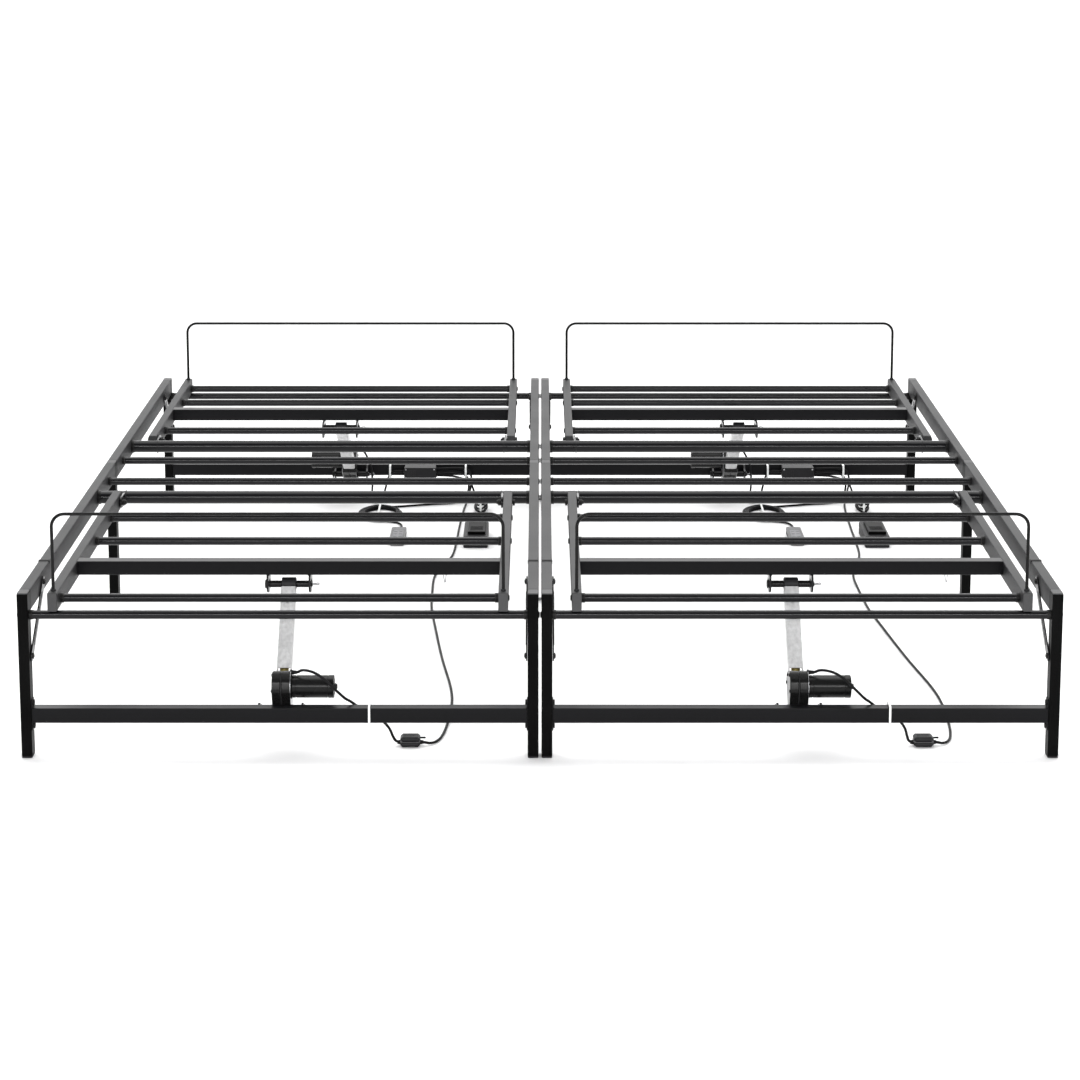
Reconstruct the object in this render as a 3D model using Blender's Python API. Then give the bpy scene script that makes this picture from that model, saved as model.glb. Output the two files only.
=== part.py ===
"""A pair of twin adjustable bed bases in bolted steel tube, standing side by side.

Each base has a fixed frame on six legs, a foot section and a head section that hinge
on it, and one screw actuator under each section. Lengths are in metres and +Z is up.
The foot end lies towards -Y. Every mesh is made once and placed for both bases.
"""

import bmesh
import bpy
from math import atan2, cos, degrees, hypot, pi, radians, sin
from mathutils import Matrix, Vector

# ---- driving dimensions ----------------------------------------------------------
PITCH = 0.9562          # between the centre lines of the two bases
LENGTH = 2.010          # over the legs
HALF_WIDTH = 0.4754     # centre line to the outer face of a side rail
DECK_Z = 0.313          # top of every rail
GAP = 0.0003            # what two pieces that touch keep between them

RAIL_W, RAIL_H = 0.020, 0.040
RAIL_IN = HALF_WIDTH - RAIL_W
LEG_D = 0.030
MID_LEG_Y = 1.0545      # foot side of the middle legs

BEAM_D, BEAM_Z0, BEAM_Z1 = 0.025, 0.066, 0.094
BEAM_SETBACK = 0.003
TIE_TUBE_Z = 0.269      # the tube that joins two end legs under the sections
TUBE_Z = 0.293
TUBE_R = 0.008
HINGE_TUBE_R = 0.0135
FOOT_HINGE_TUBE_Y, FOOT_SEAT_TUBE_Y = 0.819, 0.963
HEAD_SEAT_TUBE_Y, HEAD_HINGE_TUBE_Y = 1.164, 1.308

SECTION_OUT, SECTION_W, SECTION_H = 0.420, 0.018, 0.035
SECTION_IN = SECTION_OUT - SECTION_W
HINGE_Z = DECK_Z - SECTION_H / 2
HINGE_REACH = 0.054     # hinge tube to hinge bolt
RAIL_PAST_HINGE = 0.033
FOOT_HINGE_Y = FOOT_HINGE_TUBE_Y - HINGE_REACH
HEAD_HINGE_Y = HEAD_HINGE_TUBE_Y + HINGE_REACH
FOOT_TUBES = (0.043, 0.454, 0.641)
HEAD_TUBES = (1.476, 1.796, 1.969)
FOOT_BEAM = (0.225, 0.253)
HEAD_BEAM = (1.621, 1.649)
BEAM_H = 0.027

BAR_X = SECTION_OUT - SECTION_W / 2
BAR_R = 0.0025
BAR_TOP = 0.460
BAR_BEND = 0.024
BAR_FROM_END = 0.020

PIN_R = 0.005
PIN_CLEAR = 0.0006
LOWER_PIN_IN, LOWER_PIN_Z = 0.055, 0.075
FOOT_UPPER_PIN = (0.235, 0.266)
HEAD_UPPER_PIN = (1.635, 0.266)
FOOT_LIFT, HEAD_LIFT = radians(18), radians(50)
BRACKET_X, PLATE_T = 0.040, 0.004
PLATE_X = (BRACKET_X - PLATE_T / 2, BRACKET_X + PLATE_T / 2)

MOTOR_A, MOTOR_P, MOTOR_R = 0.0337, 0.0285, 0.02125
MOTOR_X = (0.0173, 0.0973)
GEAR_HALF = 0.017
GEAR_END = 0.074
GLAND_A, GLAND_P, GLAND_R = 0.0524, 0.0494, 0.0042
SCREW_R = 0.005
CHANNEL_HALF, CHANNEL_DEPTH, CHANNEL_WALL = 0.014, 0.011, 0.002
CHANNEL_START = 0.097
NUT_R = 0.0085
EYE_R = 0.013

BOLT_HEAD = 0.0024      # how far a bolt head stands proud of a rail
BOLT_HEAD_R = 0.006
HINGE_PLATE_X = (SECTION_IN - 0.0055, SECTION_IN - 0.0010)
HINGE_BOLT_R = 0.004
STRUT_X = (RAIL_IN - 0.0055, RAIL_IN - 0.0010)
STRUT_LOW, STRUT_HIGH, STRUT_W = (0.018, 0.190), (0.155, 0.293), 0.020

CORD_R = 0.0026
STUB = 0.006            # a cord leaves its gland straight for this far
BOX = ((0.1344, 0.2150), (1.945, 1.9815), (0.063, 0.094))
BOX_GLAND_Y = 1.966
BOX_GLANDS = {"foot": 0.0865, "handset": 0.0780, "power": 0.0695, "head": 0.0800}
BRICK = ((0.2955, 0.3540), (1.511, 1.655), (0.0, 0.028))
HANDSET = ((0.1185, 0.1545), (1.537, 1.652), (0.0, 0.016))
CONNECTOR = ((0.2181, 0.2547), (0.058, 0.086), (0.0, 0.020))
COIL = {"centre": (0.081, 1.828), "half": (0.046, 0.062), "bundle": (0.0082, 0.0056)}
KEYPAD_INSET, KEYPAD_T, KEY_TRAVEL = 0.006, 0.0020, 0.0006
KEYPAD_FROM_ENDS = (0.012, 0.030)

# ---- cord routes: across from the centre line, along from the foot end, height ----
FOOT_SHORT_ROUTE = [
    (0.0235, 0.055, 0.147), (0.030, 0.0545, 0.1475), (0.038, 0.046, 0.1535), (0.050, 0.036, 0.156),
    (0.064, 0.026, 0.1545), (0.080, 0.020, 0.146), (0.100, 0.017, 0.1275), (0.118, 0.022, 0.1085),
    (0.129, 0.031, 0.0985), (0.144, 0.035, 0.0860), (0.163, 0.0316, 0.076), (0.184, 0.037, 0.062),
    (0.198, 0.048, 0.042), (0.2045, 0.060, 0.022), (0.208, 0.068, 0.012), (0.2125, 0.072, 0.0075),
    (0.2175, 0.072, 0.0065),
]
FOOT_LONG_ROUTE = [
    (0.2553, 0.072, 0.0065), (0.262, 0.072, 0.0062), (0.272, 0.0735, 0.004), (0.283, 0.084, 0.003),
    (0.293, 0.113, 0.003), (0.301, 0.182, 0.003), (0.306, 0.304, 0.003), (0.300, 0.422, 0.003),
    (0.276, 0.618, 0.003), (0.251, 0.870, 0.003), (0.241, 0.980, 0.003), (0.237, 1.122, 0.003),
    (0.238, 1.250, 0.003), (0.257, 1.350, 0.003), (0.273, 1.440, 0.003), (0.278, 1.560, 0.003),
    (0.281, 1.700, 0.003), (0.286, 1.850, 0.003), (0.290, 1.915, 0.0035), (0.2935, 1.935, 0.0085),
    (0.2985, 1.948, 0.026), (0.303, 1.953, 0.045), (0.3045, 1.957, 0.064), (0.300, 1.960, 0.080),
    (0.288, 1.963, 0.0875), (0.262, 1.9655, 0.0885), (0.2182, 1.966, 0.0865),
]
HEAD_ROUTE = [
    (0.0235, 1.9360, 0.1446), (0.0295, 1.9358, 0.1438), (0.040, 1.934, 0.1300), (0.052, 1.932, 0.1000),
    (0.055, 1.934, 0.0600), (0.053, 1.939, 0.0180), (0.057, 1.946, 0.0040), (0.068, 1.952, 0.0032),
    (0.079, 1.958, 0.0120), (0.087, 1.965, 0.0400), (0.095, 1.970, 0.0670), (0.109, 1.969, 0.0790),
    (0.1312, 1.966, 0.0800),
]
HANDSET_ROUTE = [
    (0.1365, 1.6557, 0.0080), (0.1366, 1.6630, 0.0078), (0.139, 1.690, 0.0040), (0.139, 1.714, 0.0030),
    (0.131, 1.737, 0.0030), (0.112, 1.7510, 0.0030), (0.088, 1.7555, 0.0030),
]
COIL_ROUTE = [
    (0.088, 1.9004, 0.003), (0.112, 1.904, 0.003), (0.152, 1.916, 0.003), (0.205, 1.932, 0.003),
    (0.255, 1.943, 0.003), (0.280, 1.956, 0.006), (0.2935, 1.963, 0.022), (0.2975, 1.9645, 0.045),
    (0.295, 1.966, 0.062), (0.283, 1.9675, 0.0735), (0.260, 1.9675, 0.0785), (0.2182, 1.966, 0.078),
]
POWER_ROUTE = [
    (0.3276, 1.6587, 0.014), (0.3276, 1.666, 0.0137), (0.328, 1.700, 0.005), (0.330, 1.790, 0.003),
    (0.340, 1.880, 0.003), (0.340, 1.912, 0.003), (0.333, 1.930, 0.005), (0.322, 1.937, 0.013),
    (0.3135, 1.940, 0.027), (0.3085, 1.942, 0.042), (0.301, 1.945, 0.056), (0.285, 1.950, 0.064),
    (0.262, 1.957, 0.069), (0.240, 1.963, 0.0695), (0.2182, 1.966, 0.0695),
]


# ---- kinematics ------------------------------------------------------------------
def turned(offset, angle):
    """A (y, z) offset turned by an angle about X."""
    y, z = offset
    return (y * cos(angle) - z * sin(angle), y * sin(angle) + z * cos(angle))


class Drive:
    """The triangle of section hinge, lower pin and upper pin of one actuator."""

    def __init__(self, hinge_y, upper, lower_y, lift, sense):
        self.hinge = (hinge_y, HINGE_Z)
        self.upper = upper
        self.lower = (lower_y, LOWER_PIN_Z)
        self.lift = lift
        self.sense = sense
        self.rest_length, self.rest_angle = self.reach(0.0)
        self.full_length, self.full_angle = self.reach(lift)

    def upper_at(self, angle):
        """The section's pin hole once the section has been lifted by this angle."""
        offset = (self.upper[0] - self.hinge[0], self.upper[1] - self.hinge[1])
        y, z = turned(offset, self.sense * angle)
        return (self.hinge[0] + y, self.hinge[1] + z)

    def reach(self, angle):
        y, z = self.upper_at(angle)
        dy, dz = y - self.lower[0], z - self.lower[1]
        return hypot(dy, dz), atan2(dz, dy)

    def pin_drift(self, share):
        """Where the pin is in the section, from its hole, with length and angle in even steps."""
        lift = share * self.lift
        length = self.rest_length + share * (self.full_length - self.rest_length)
        angle = self.rest_angle + share * (self.full_angle - self.rest_angle)
        hole = self.upper_at(lift)
        offset = (
            self.lower[0] + length * cos(angle) - hole[0],
            self.lower[1] + length * sin(angle) - hole[1],
        )
        return turned(offset, -self.sense * lift)


FOOT_DRIVE = Drive(FOOT_HINGE_Y, FOOT_UPPER_PIN, LOWER_PIN_IN, FOOT_LIFT, -1)
HEAD_DRIVE = Drive(HEAD_HINGE_Y, HEAD_UPPER_PIN, LENGTH - LOWER_PIN_IN, HEAD_LIFT, 1)


# ---- materials -------------------------------------------------------------------
def material(name, colour, roughness, metallic=0.0):
    mat = bpy.data.materials.new(name)
    mat.use_nodes = True
    shader = mat.node_tree.nodes["Principled BSDF"]
    shader.inputs["Base Color"].default_value = (*colour, 1.0)
    shader.inputs["Roughness"].default_value = roughness
    shader.inputs["Metallic"].default_value = metallic
    mat.diffuse_color = (*colour, 1.0)
    return mat


def make_materials():
    return {
        "black_powder_coat": material("black_powder_coat", (0.022, 0.022, 0.024), 0.45),
        "black_plastic": material("black_plastic", (0.02, 0.02, 0.02), 0.5),
        "bare_aluminium": material("bare_aluminium", (0.62, 0.63, 0.65), 0.35, 0.9),
        "bright_steel": material("bright_steel", (0.45, 0.45, 0.46), 0.3, 1.0),
        "soft_rubber": material("soft_rubber", (0.09, 0.09, 0.095), 0.8),
        "cord_jacket": material("cord_jacket", (0.025, 0.025, 0.025), 0.55),
    }


# ---- simple solids ---------------------------------------------------------------
def solid(bm):
    """A hidden working object that holds this bmesh, with its faces outward."""
    bm.normal_update()
    bmesh.ops.recalc_face_normals(bm, faces=bm.faces)
    mesh = bpy.data.meshes.new("work")
    bm.to_mesh(mesh)
    bm.free()
    obj = bpy.data.objects.new("work", mesh)
    obj.hide_render = True
    obj.display_type = "WIRE"
    bpy.context.scene.collection.objects.link(obj)
    return obj


def box(x, y, z):
    """A box between the two limits given for each axis."""
    bm = bmesh.new()
    bmesh.ops.create_cube(bm, size=1.0)
    size = Matrix.Diagonal((x[1] - x[0], y[1] - y[0], z[1] - z[0], 1.0))
    place = Matrix.Translation(((x[0] + x[1]) / 2, (y[0] + y[1]) / 2, (z[0] + z[1]) / 2))
    bm.transform(place @ size)
    return solid(bm)


def rod(axis, at, radius, span, sides=16):
    """A cylinder along X, Y or Z; at gives the other two coordinates in axis order."""
    bm = bmesh.new()
    bmesh.ops.create_cone(
        bm, cap_ends=True, segments=sides, radius1=radius, radius2=radius, depth=span[1] - span[0]
    )
    bm.transform(Matrix.Rotation(pi / sides, 4, "Z"))
    middle = (span[0] + span[1]) / 2
    if axis == "X":
        bm.transform(Matrix.Translation((middle, at[0], at[1])) @ Matrix.Rotation(pi / 2, 4, "Y"))
    elif axis == "Y":
        bm.transform(Matrix.Translation((at[0], middle, at[1])) @ Matrix.Rotation(pi / 2, 4, "X"))
    else:
        bm.transform(Matrix.Translation((at[0], at[1], middle)))
    return solid(bm)


def plate(outline, x):
    """A flat plate: an outline in Y and Z, extruded between two X values."""
    bm = bmesh.new()
    face = bm.faces.new([bm.verts.new((x[0], y, z)) for y, z in outline])
    grown = bmesh.ops.extrude_face_region(bm, geom=[face])["geom"]
    moved = [v for v in grown if isinstance(v, bmesh.types.BMVert)]
    bmesh.ops.translate(bm, vec=(x[1] - x[0], 0, 0), verts=moved)
    return solid(bm)


def strip(start, end, width, x):
    """A flat bar from one (y, z) point to another, with rounded ends left to its bolts."""
    along = Vector((end[0] - start[0], end[1] - start[1])).normalized()
    side = Vector((-along.y, along.x)) * width / 2
    reach = along * width / 2
    a, b = Vector(start) - reach, Vector(end) + reach
    return plate([a + side, a - side, b - side, b + side], x)


def fuse(name, solids, cuts=()):
    """One closed mesh: the first solid joined to the others, less the cutters."""
    base, *others = solids
    for tool, kind in [(o, "UNION") for o in others] + [(c, "DIFFERENCE") for c in cuts]:
        mod = base.modifiers.new(kind, "BOOLEAN")
        mod.operation = kind
        mod.object = tool
        mod.solver = "EXACT"
    bpy.context.view_layer.update()
    graph = bpy.context.evaluated_depsgraph_get()
    mesh = bpy.data.meshes.new_from_object(base.evaluated_get(graph))
    mesh.name = name
    for obj in (base, *others, *cuts):
        old = obj.data
        bpy.data.objects.remove(obj, do_unlink=True)
        bpy.data.meshes.remove(old)
    return mesh


def both_sides(make):
    """The same solids on the left and on the right of the centre line."""
    return [piece for side in (-1, 1) for piece in make(side)]


def span(side, near, far):
    """Two distances from the centre line as ordered X limits on one side."""
    return tuple(sorted((side * near, side * far)))


# ---- fixed frame -----------------------------------------------------------------
def bolt_heads(y, z, face=HALF_WIDTH):
    """A bolt head on the outer face of a rail or leg, on both sides."""
    return both_sides(lambda s: [rod("X", (y, z), BOLT_HEAD_R, span(s, face - 0.001, face + BOLT_HEAD), 6)])


def cross_tube(y, z, radius, half, sides=10):
    """A round tube from rail to rail; it runs a little into both, so that they join."""
    return rod("X", (y, z), radius, (-half - 0.003, half + 0.003), sides)


def hinge_ear(side, tube_y, hinge_y):
    """A plate welded to a hinge tube, with the bolt that a section rail turns on."""
    at, half, inner = (hinge_y, HINGE_Z), 0.012, HINGE_PLATE_X[0]
    low, high = sorted((tube_y, hinge_y + (half if hinge_y > tube_y else -half)))
    ear = box(span(side, *HINGE_PLATE_X), (low, high), (HINGE_Z - half, HINGE_Z + half))
    shank = rod("X", at, HINGE_BOLT_R, span(side, SECTION_IN - 0.004, SECTION_OUT + 0.002), 8)
    head = rod("X", at, 0.007, span(side, SECTION_OUT + 0.0008, SECTION_OUT + 0.005), 8)
    nut = rod("X", at, 0.0065, span(side, inner - 0.007, inner + 0.002), 6)
    return [ear, shank, head, nut]


def base_frame(name, rail_y, hinge_tube_y, seat_tube_y, hinge_y, legs_y=None):
    """Two side rails with a hinge tube and a seat tube, and the middle legs if they are its own."""
    z = (DECK_Z - RAIL_H, DECK_Z)
    solids = both_sides(lambda s: [box(span(s, RAIL_IN, HALF_WIDTH), rail_y, z)])
    solids.append(cross_tube(hinge_tube_y, TUBE_Z, HINGE_TUBE_R, RAIL_IN, 14))
    solids.append(cross_tube(seat_tube_y, TUBE_Z, TUBE_R, RAIL_IN))
    solids += both_sides(lambda s: hinge_ear(s, hinge_tube_y, hinge_y))
    solids += bolt_heads(hinge_tube_y, TUBE_Z) + bolt_heads(seat_tube_y, TUBE_Z)
    if legs_y:
        leg_z = (0.0, DECK_Z - 0.0002)
        leg_x = (RAIL_IN + 0.0001, HALF_WIDTH - 0.0001)
        solids += both_sides(lambda s: [box(span(s, *leg_x), legs_y, leg_z)])
    return fuse(name, solids)


def lower_bracket(end, sense):
    """Two plates behind a lower beam and the pin that an actuator tips on."""
    back = BEAM_SETBACK + BEAM_D - 0.002
    ear = [(back, 0.062), (back, 0.096), (0.034, 0.096), (0.048, 0.088), (0.064, 0.084),
           (0.067, 0.075), (0.062, 0.064), (0.052, 0.060)]
    outline = [(end + sense * y, z) for y, z in ear]
    plates = both_sides(lambda s: [plate(outline, span(s, *PLATE_X))])
    pin_at = (end + sense * LOWER_PIN_IN, LOWER_PIN_Z)
    return plates + [rod("X", pin_at, PIN_R, (-BRACKET_X - 0.006, BRACKET_X + 0.006), 12)]


def leg_frame(name, sense):
    """Two end legs with a lower beam, a tie tube, two struts and the lower actuator bracket."""
    end = 0.0 if sense > 0 else LENGTH

    def along(*distances):
        return tuple(sorted(end + sense * d for d in distances))

    solids = both_sides(lambda s: [box(span(s, RAIL_IN, HALF_WIDTH), along(0, LEG_D), (0, DECK_Z))])
    beam_y = along(BEAM_SETBACK, BEAM_SETBACK + BEAM_D)
    solids.append(box((-RAIL_IN - 0.003, RAIL_IN + 0.003), beam_y, (BEAM_Z0, BEAM_Z1)))
    solids.append(cross_tube(end + sense * LEG_D / 2, TIE_TUBE_Z, TUBE_R, RAIL_IN))
    solids += bolt_heads(end + sense * LEG_D / 2, TIE_TUBE_Z)
    low, high = ((end + sense * y, z) for y, z in (STRUT_LOW, STRUT_HIGH))
    solids += both_sides(lambda s: [
        strip(low, high, STRUT_W, span(s, *STRUT_X)),
        rod("X", low, 0.005, span(s, RAIL_IN - 0.010, RAIL_IN + 0.003), 8),
        rod("X", high, 0.005, span(s, RAIL_IN - 0.010, RAIL_IN - GAP), 8),
    ])
    return fuse(name, solids + lower_bracket(end, sense))


# ---- lifting sections ------------------------------------------------------------
def slot_cutters(drive, x):
    """Cutters along the path of the upper pin, which runs in a slot towards the hinge."""
    shares = [k / 12 for k in range(13)]
    path = [drive.pin_drift(s) for s in shares]
    low, high = min(p[0] for p in path), max(p[0] for p in path)
    half = PIN_R + PIN_CLEAR + max(abs(p[1]) for p in path)
    y0, z0 = drive.upper
    ends = [rod("X", (y0 + end, z0), half, x, 12) for end in (low, high)]
    middle = box(x, (y0 + low, y0 + high), (z0 - half * 0.999, z0 + half * 0.999))
    return [ends[0], middle, ends[1]]


def bracket_plate(drive, beam_y, side):
    """One of the two slotted plates under a section's beam."""
    drift = [drive.pin_drift(k / 12)[0] for k in range(13)]
    reach = max(drift, key=abs)
    y0, z0 = drive.upper
    toward = 1 if reach > 0 else -1
    tip, heel = y0 + reach + toward * 0.016, y0 - toward * 0.013
    inner = beam_y[1] - 0.003 if toward > 0 else beam_y[0] + 0.003
    top = DECK_Z - BEAM_H + 0.004
    outline = [(heel, top), (heel, z0 - 0.010), (heel + toward * 0.006, z0 - 0.0165),
               (tip - toward * 0.006, z0 - 0.0165), (tip, z0 - 0.008), (tip, top - 0.002),
               (tip - toward * 0.006, top), (inner, top)]
    return plate(outline, span(side, *PLATE_X))


def section_frame(name, rail_y, tubes, beam_y, drive):
    z = (DECK_Z - SECTION_H, DECK_Z)
    solids = both_sides(lambda s: [box(span(s, SECTION_IN, SECTION_OUT), rail_y, z)])
    solids += [cross_tube(y, TUBE_Z, TUBE_R, SECTION_IN) for y in tubes]
    beam_z = (DECK_Z - BEAM_H, DECK_Z - 0.0002)
    solids.append(box((-SECTION_IN - 0.003, SECTION_IN + 0.003), beam_y, beam_z))
    solids += both_sides(lambda s: [bracket_plate(drive, beam_y, s)])
    for y in tubes:
        solids += bolt_heads(y, TUBE_Z, SECTION_OUT)
    hole_x = (SECTION_IN - 0.01, SECTION_OUT + 0.01)
    cuts = both_sides(lambda s: [rod("X", drive.hinge, HINGE_BOLT_R + PIN_CLEAR, span(s, *hole_x), 8)])
    cuts += both_sides(lambda s: slot_cutters(drive, span(s, BRACKET_X - 0.006, BRACKET_X + 0.006)))
    return fuse(name, solids, cuts)


def bend_points(centre_x, centre_z, start, end, steps=5):
    """Points of a bar's bend, from one angle to another."""
    angles = [start + (end - start) * k / steps for k in range(steps + 1)]
    return [(centre_x + BAR_BEND * cos(a), 0.0, centre_z + BAR_BEND * sin(a)) for a in angles]


def retainer_bar(name, y):
    """The mattress retainer: a wire hoop that stands on the two section rails."""
    foot, top = DECK_Z + GAP, BAR_TOP - BAR_R
    points = [(-BAR_X, 0.0, foot)]
    points += bend_points(-BAR_X + BAR_BEND, top - BAR_BEND, pi, pi / 2)
    points += bend_points(BAR_X - BAR_BEND, top - BAR_BEND, pi / 2, 0)
    points.append((BAR_X, 0.0, foot))
    return tube_mesh(name, [(px, y, pz) for px, _, pz in points], BAR_R, 2)


# ---- actuators, in their own axes: across, along the screw, away from the screw ---
def gear_housing(name, gland_side):
    outline = [(-0.010, -0.017), (0.070, -0.017), (GEAR_END, -0.010), (GEAR_END, 0.012), (0.062, 0.036),
               (0.050, 0.056), (0.030, 0.060), (0.012, 0.050), (0.006, 0.036), (0.000, 0.024),
               (-0.012, 0.012)]
    body = plate(outline, (-GEAR_HALF, GEAR_HALF))
    gland_x = (GEAR_HALF - 0.002, GEAR_HALF + 0.006)
    gland = rod("X", (GLAND_A, GLAND_P), GLAND_R, span(gland_side, *gland_x), 12)
    bore = rod("X", (0, 0), PIN_R + PIN_CLEAR, (-0.03, 0.03), 12)
    return fuse(name, [body, gland], [bore])


def motor(name):
    can = rod("X", (MOTOR_A, MOTOR_P), MOTOR_R, MOTOR_X, 20)
    knob = rod("X", (MOTOR_A, MOTOR_P), 0.0055, (MOTOR_X[1] - 0.002, MOTOR_X[1] + 0.0055), 12)
    return fuse(name, [can, knob])


def drive_screw(name, drive):
    end = drive.rest_length - EYE_R - 0.004
    return fuse(name, [rod("Y", (0, 0), SCREW_R, (GEAR_END + GAP, end), 12)])


def thrust_channel(name, drive):
    """The folded channel that rides on the screw, with its nut and its plastic eye."""
    end = drive.rest_length
    wall = CHANNEL_WALL
    span_a = (CHANNEL_START, end - 0.011)
    top = box((-CHANNEL_HALF, CHANNEL_HALF), span_a, (CHANNEL_DEPTH - wall, CHANNEL_DEPTH))
    sides = both_sides(lambda s: [
        box(span(s, CHANNEL_HALF - wall, CHANNEL_HALF), span_a, (-CHANNEL_DEPTH, CHANNEL_DEPTH))
    ])
    foot = box((-CHANNEL_HALF, CHANNEL_HALF), (CHANNEL_START, CHANNEL_START + 0.004),
               (-CHANNEL_DEPTH, CHANNEL_DEPTH))
    nut = rod("Y", (0, 0), NUT_R, (CHANNEL_START - 0.016, CHANNEL_START + 0.003), 12)
    eye_x = (-CHANNEL_HALF + 0.0005, CHANNEL_HALF - 0.0005)
    shank = box(eye_x, (end - 0.016, end), (-0.0105, 0.0105))
    eye = rod("X", (end, 0), EYE_R, eye_x, 14)
    screw_way = rod("Y", (0, 0), SCREW_R + PIN_CLEAR, (0.0, CHANNEL_START + 0.02), 12)
    bore = rod("X", (end, 0), PIN_R + 0.0004, (-0.03, 0.03), 12)
    return fuse(name, [top, *sides, foot, nut, shank, eye], [screw_way, bore])


def clevis_pin(name, drive):
    """The upper pin with its head and the two sleeves beside the eye."""
    at = (drive.rest_length, 0)
    inside = BRACKET_X - PLATE_T / 2 - 0.0006
    outside = BRACKET_X + PLATE_T / 2
    shank = rod("X", at, PIN_R, (-outside - 0.002, outside + 0.012), 12)
    head = rod("X", at, 0.0085, (-outside - 0.0040, -outside - 0.0010), 12)
    sleeves = both_sides(lambda s: [rod("X", at, 0.0065, span(s, CHANNEL_HALF, inside), 12)])
    return fuse(name, [shank, head, *sleeves])


# ---- electrics -------------------------------------------------------------------
def bevelled(name, solids, cuts=(), width=0.002):
    mesh = fuse(name, solids, cuts)
    bm = bmesh.new()
    bm.from_mesh(mesh)
    sharp = [
        e for e in bm.edges
        if e.is_manifold and e.calc_length() > 6 * width and e.calc_face_angle() > 1.5
    ]
    bmesh.ops.bevel(bm, geom=sharp, offset=width, segments=1, profile=0.5, affect="EDGES")
    bm.to_mesh(mesh)
    bm.free()
    return mesh


def control_box(name):
    """The control box, with three glands on its right end and one on its left."""
    (x0, x1), proud, sunk = BOX[0], 0.0028, 0.002
    left, right = (x0 - proud, x0 + sunk), (x1 - sunk, x1 + proud)
    glands = [
        rod("X", (BOX_GLAND_Y, z), 0.0036, left if cord == "head" else right, 10)
        for cord, z in BOX_GLANDS.items()
    ]
    return fuse(name, [box(*BOX), *glands])


def power_brick(name):
    """The mains adaptor: a slab with a raised cover and the boot of its lead."""
    x, y, z = BRICK
    cover_x, cover_y = (x[0] + 0.008, x[1] - 0.005), (y[0] + 0.010, y[1] - 0.010)
    raised = box(cover_x, cover_y, (z[1] - 0.002, z[1] + 0.007))
    boot = rod("Y", (sum(x) / 2, z[1] / 2), 0.0045, (y[1] - 0.002, y[1] + 0.003), 10)
    return bevelled(name, [box(x, y, z), raised, boot])


def handset(name):
    """The hand control, with a shallow pocket for its keypad and a cord boot."""
    x, y, z = HANDSET
    inset = KEYPAD_INSET - GAP
    near, far = KEYPAD_FROM_ENDS
    boot = rod("Y", (sum(x) / 2, 0.008), 0.0040, (y[1] - 0.002, y[1] + 0.003), 10)
    pocket = box((x[0] + inset, x[1] - inset), (y[0] + near - GAP, y[1] - far + GAP),
                 (z[1] - KEYPAD_T - KEY_TRAVEL - 0.0004, z[1] + 0.01))
    return fuse(name, [box(x, y, z), boot], [pocket])


def handset_keypad(name):
    """The moulded keypad: two columns of three keys on one web."""
    x, y, z = HANDSET
    near, far = KEYPAD_FROM_ENDS
    top = z[1] - 0.0002
    web_x, web_y = (x[0] + KEYPAD_INSET, x[1] - KEYPAD_INSET), (y[0] + near, y[1] - far)
    web = box(web_x, web_y, (top - KEYPAD_T, top))
    middle = sum(x) / 2
    keys = [
        rod("Z", (middle + side * 0.006, y[0] + (row + 1) * 0.024), 0.0045, (top - 0.001, top + 0.0014), 6)
        for side in (-1, 1)
        for row in range(3)
    ]
    return fuse(name, [web, *keys])


def cable_connector(name):
    return bevelled(name, [box(*CONNECTOR)])


def cable_coil(name):
    """The hank of spare cord, as the closed ring that its turns fill."""
    (cx, cy), (ax, ay), (wide, high) = COIL["centre"], COIL["half"], COIL["bundle"]
    bm = bmesh.new()
    around, ring_sides = 22, 8
    rings = []
    for k in range(around):
        t = 2 * pi * k / around
        out = Vector((cos(t) / ax, sin(t) / ay, 0)).normalized()
        centre = Vector((cx + ax * cos(t), cy + ay * sin(t), high + 0.0002))
        rings.append([
            bm.verts.new(centre + out * wide * cos(u) + Vector((0, 0, high * sin(u))))
            for u in (2 * pi * (j + 0.5) / ring_sides for j in range(ring_sides))
        ])
    for k in range(around):
        a, b = rings[k], rings[(k + 1) % around]
        for j in range(ring_sides):
            n = (j + 1) % ring_sides
            bm.faces.new((a[j], b[j], b[n], a[n]))
    bmesh.ops.recalc_face_normals(bm, faces=bm.faces)
    mesh = bpy.data.meshes.new(name)
    bm.to_mesh(mesh)
    bm.free()
    return mesh


# ---- cords -----------------------------------------------------------------------
def smooth_route(points, step):
    """Evenly spaced points on a smooth curve through the route's own points."""
    route = [Vector(p) for p in points]
    ends = [route[0] * 2 - route[1], *route, route[-1] * 2 - route[-2]]
    fine = []
    for a, b, c, d in zip(ends, ends[1:], ends[2:], ends[3:]):
        m1, m2 = (c - a) / 2, (d - b) / 2
        for k in range(24):
            t = k / 24
            fine.append(
                b * (2 * t**3 - 3 * t**2 + 1) + m1 * (t**3 - 2 * t**2 + t)
                + c * (3 * t**2 - 2 * t**3) + m2 * (t**3 - t**2)
            )
    fine.append(route[-1])
    total = sum((q - p).length for p, q in zip(fine, fine[1:]))
    count = max(4, round(total / step))
    targets = [total * k / count for k in range(1, count)]
    targets = sorted({STUB, total - STUB, *(t for t in targets if STUB < t < total - STUB)})
    even, walked, index = [fine[0]], 0.0, 0
    for target in targets:
        while walked + (fine[index + 1] - fine[index]).length < target:
            walked += (fine[index + 1] - fine[index]).length
            index += 1
        leg = fine[index + 1] - fine[index]
        even.append(fine[index] + leg * ((target - walked) / leg.length))
    even.append(fine[-1])
    return even


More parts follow.
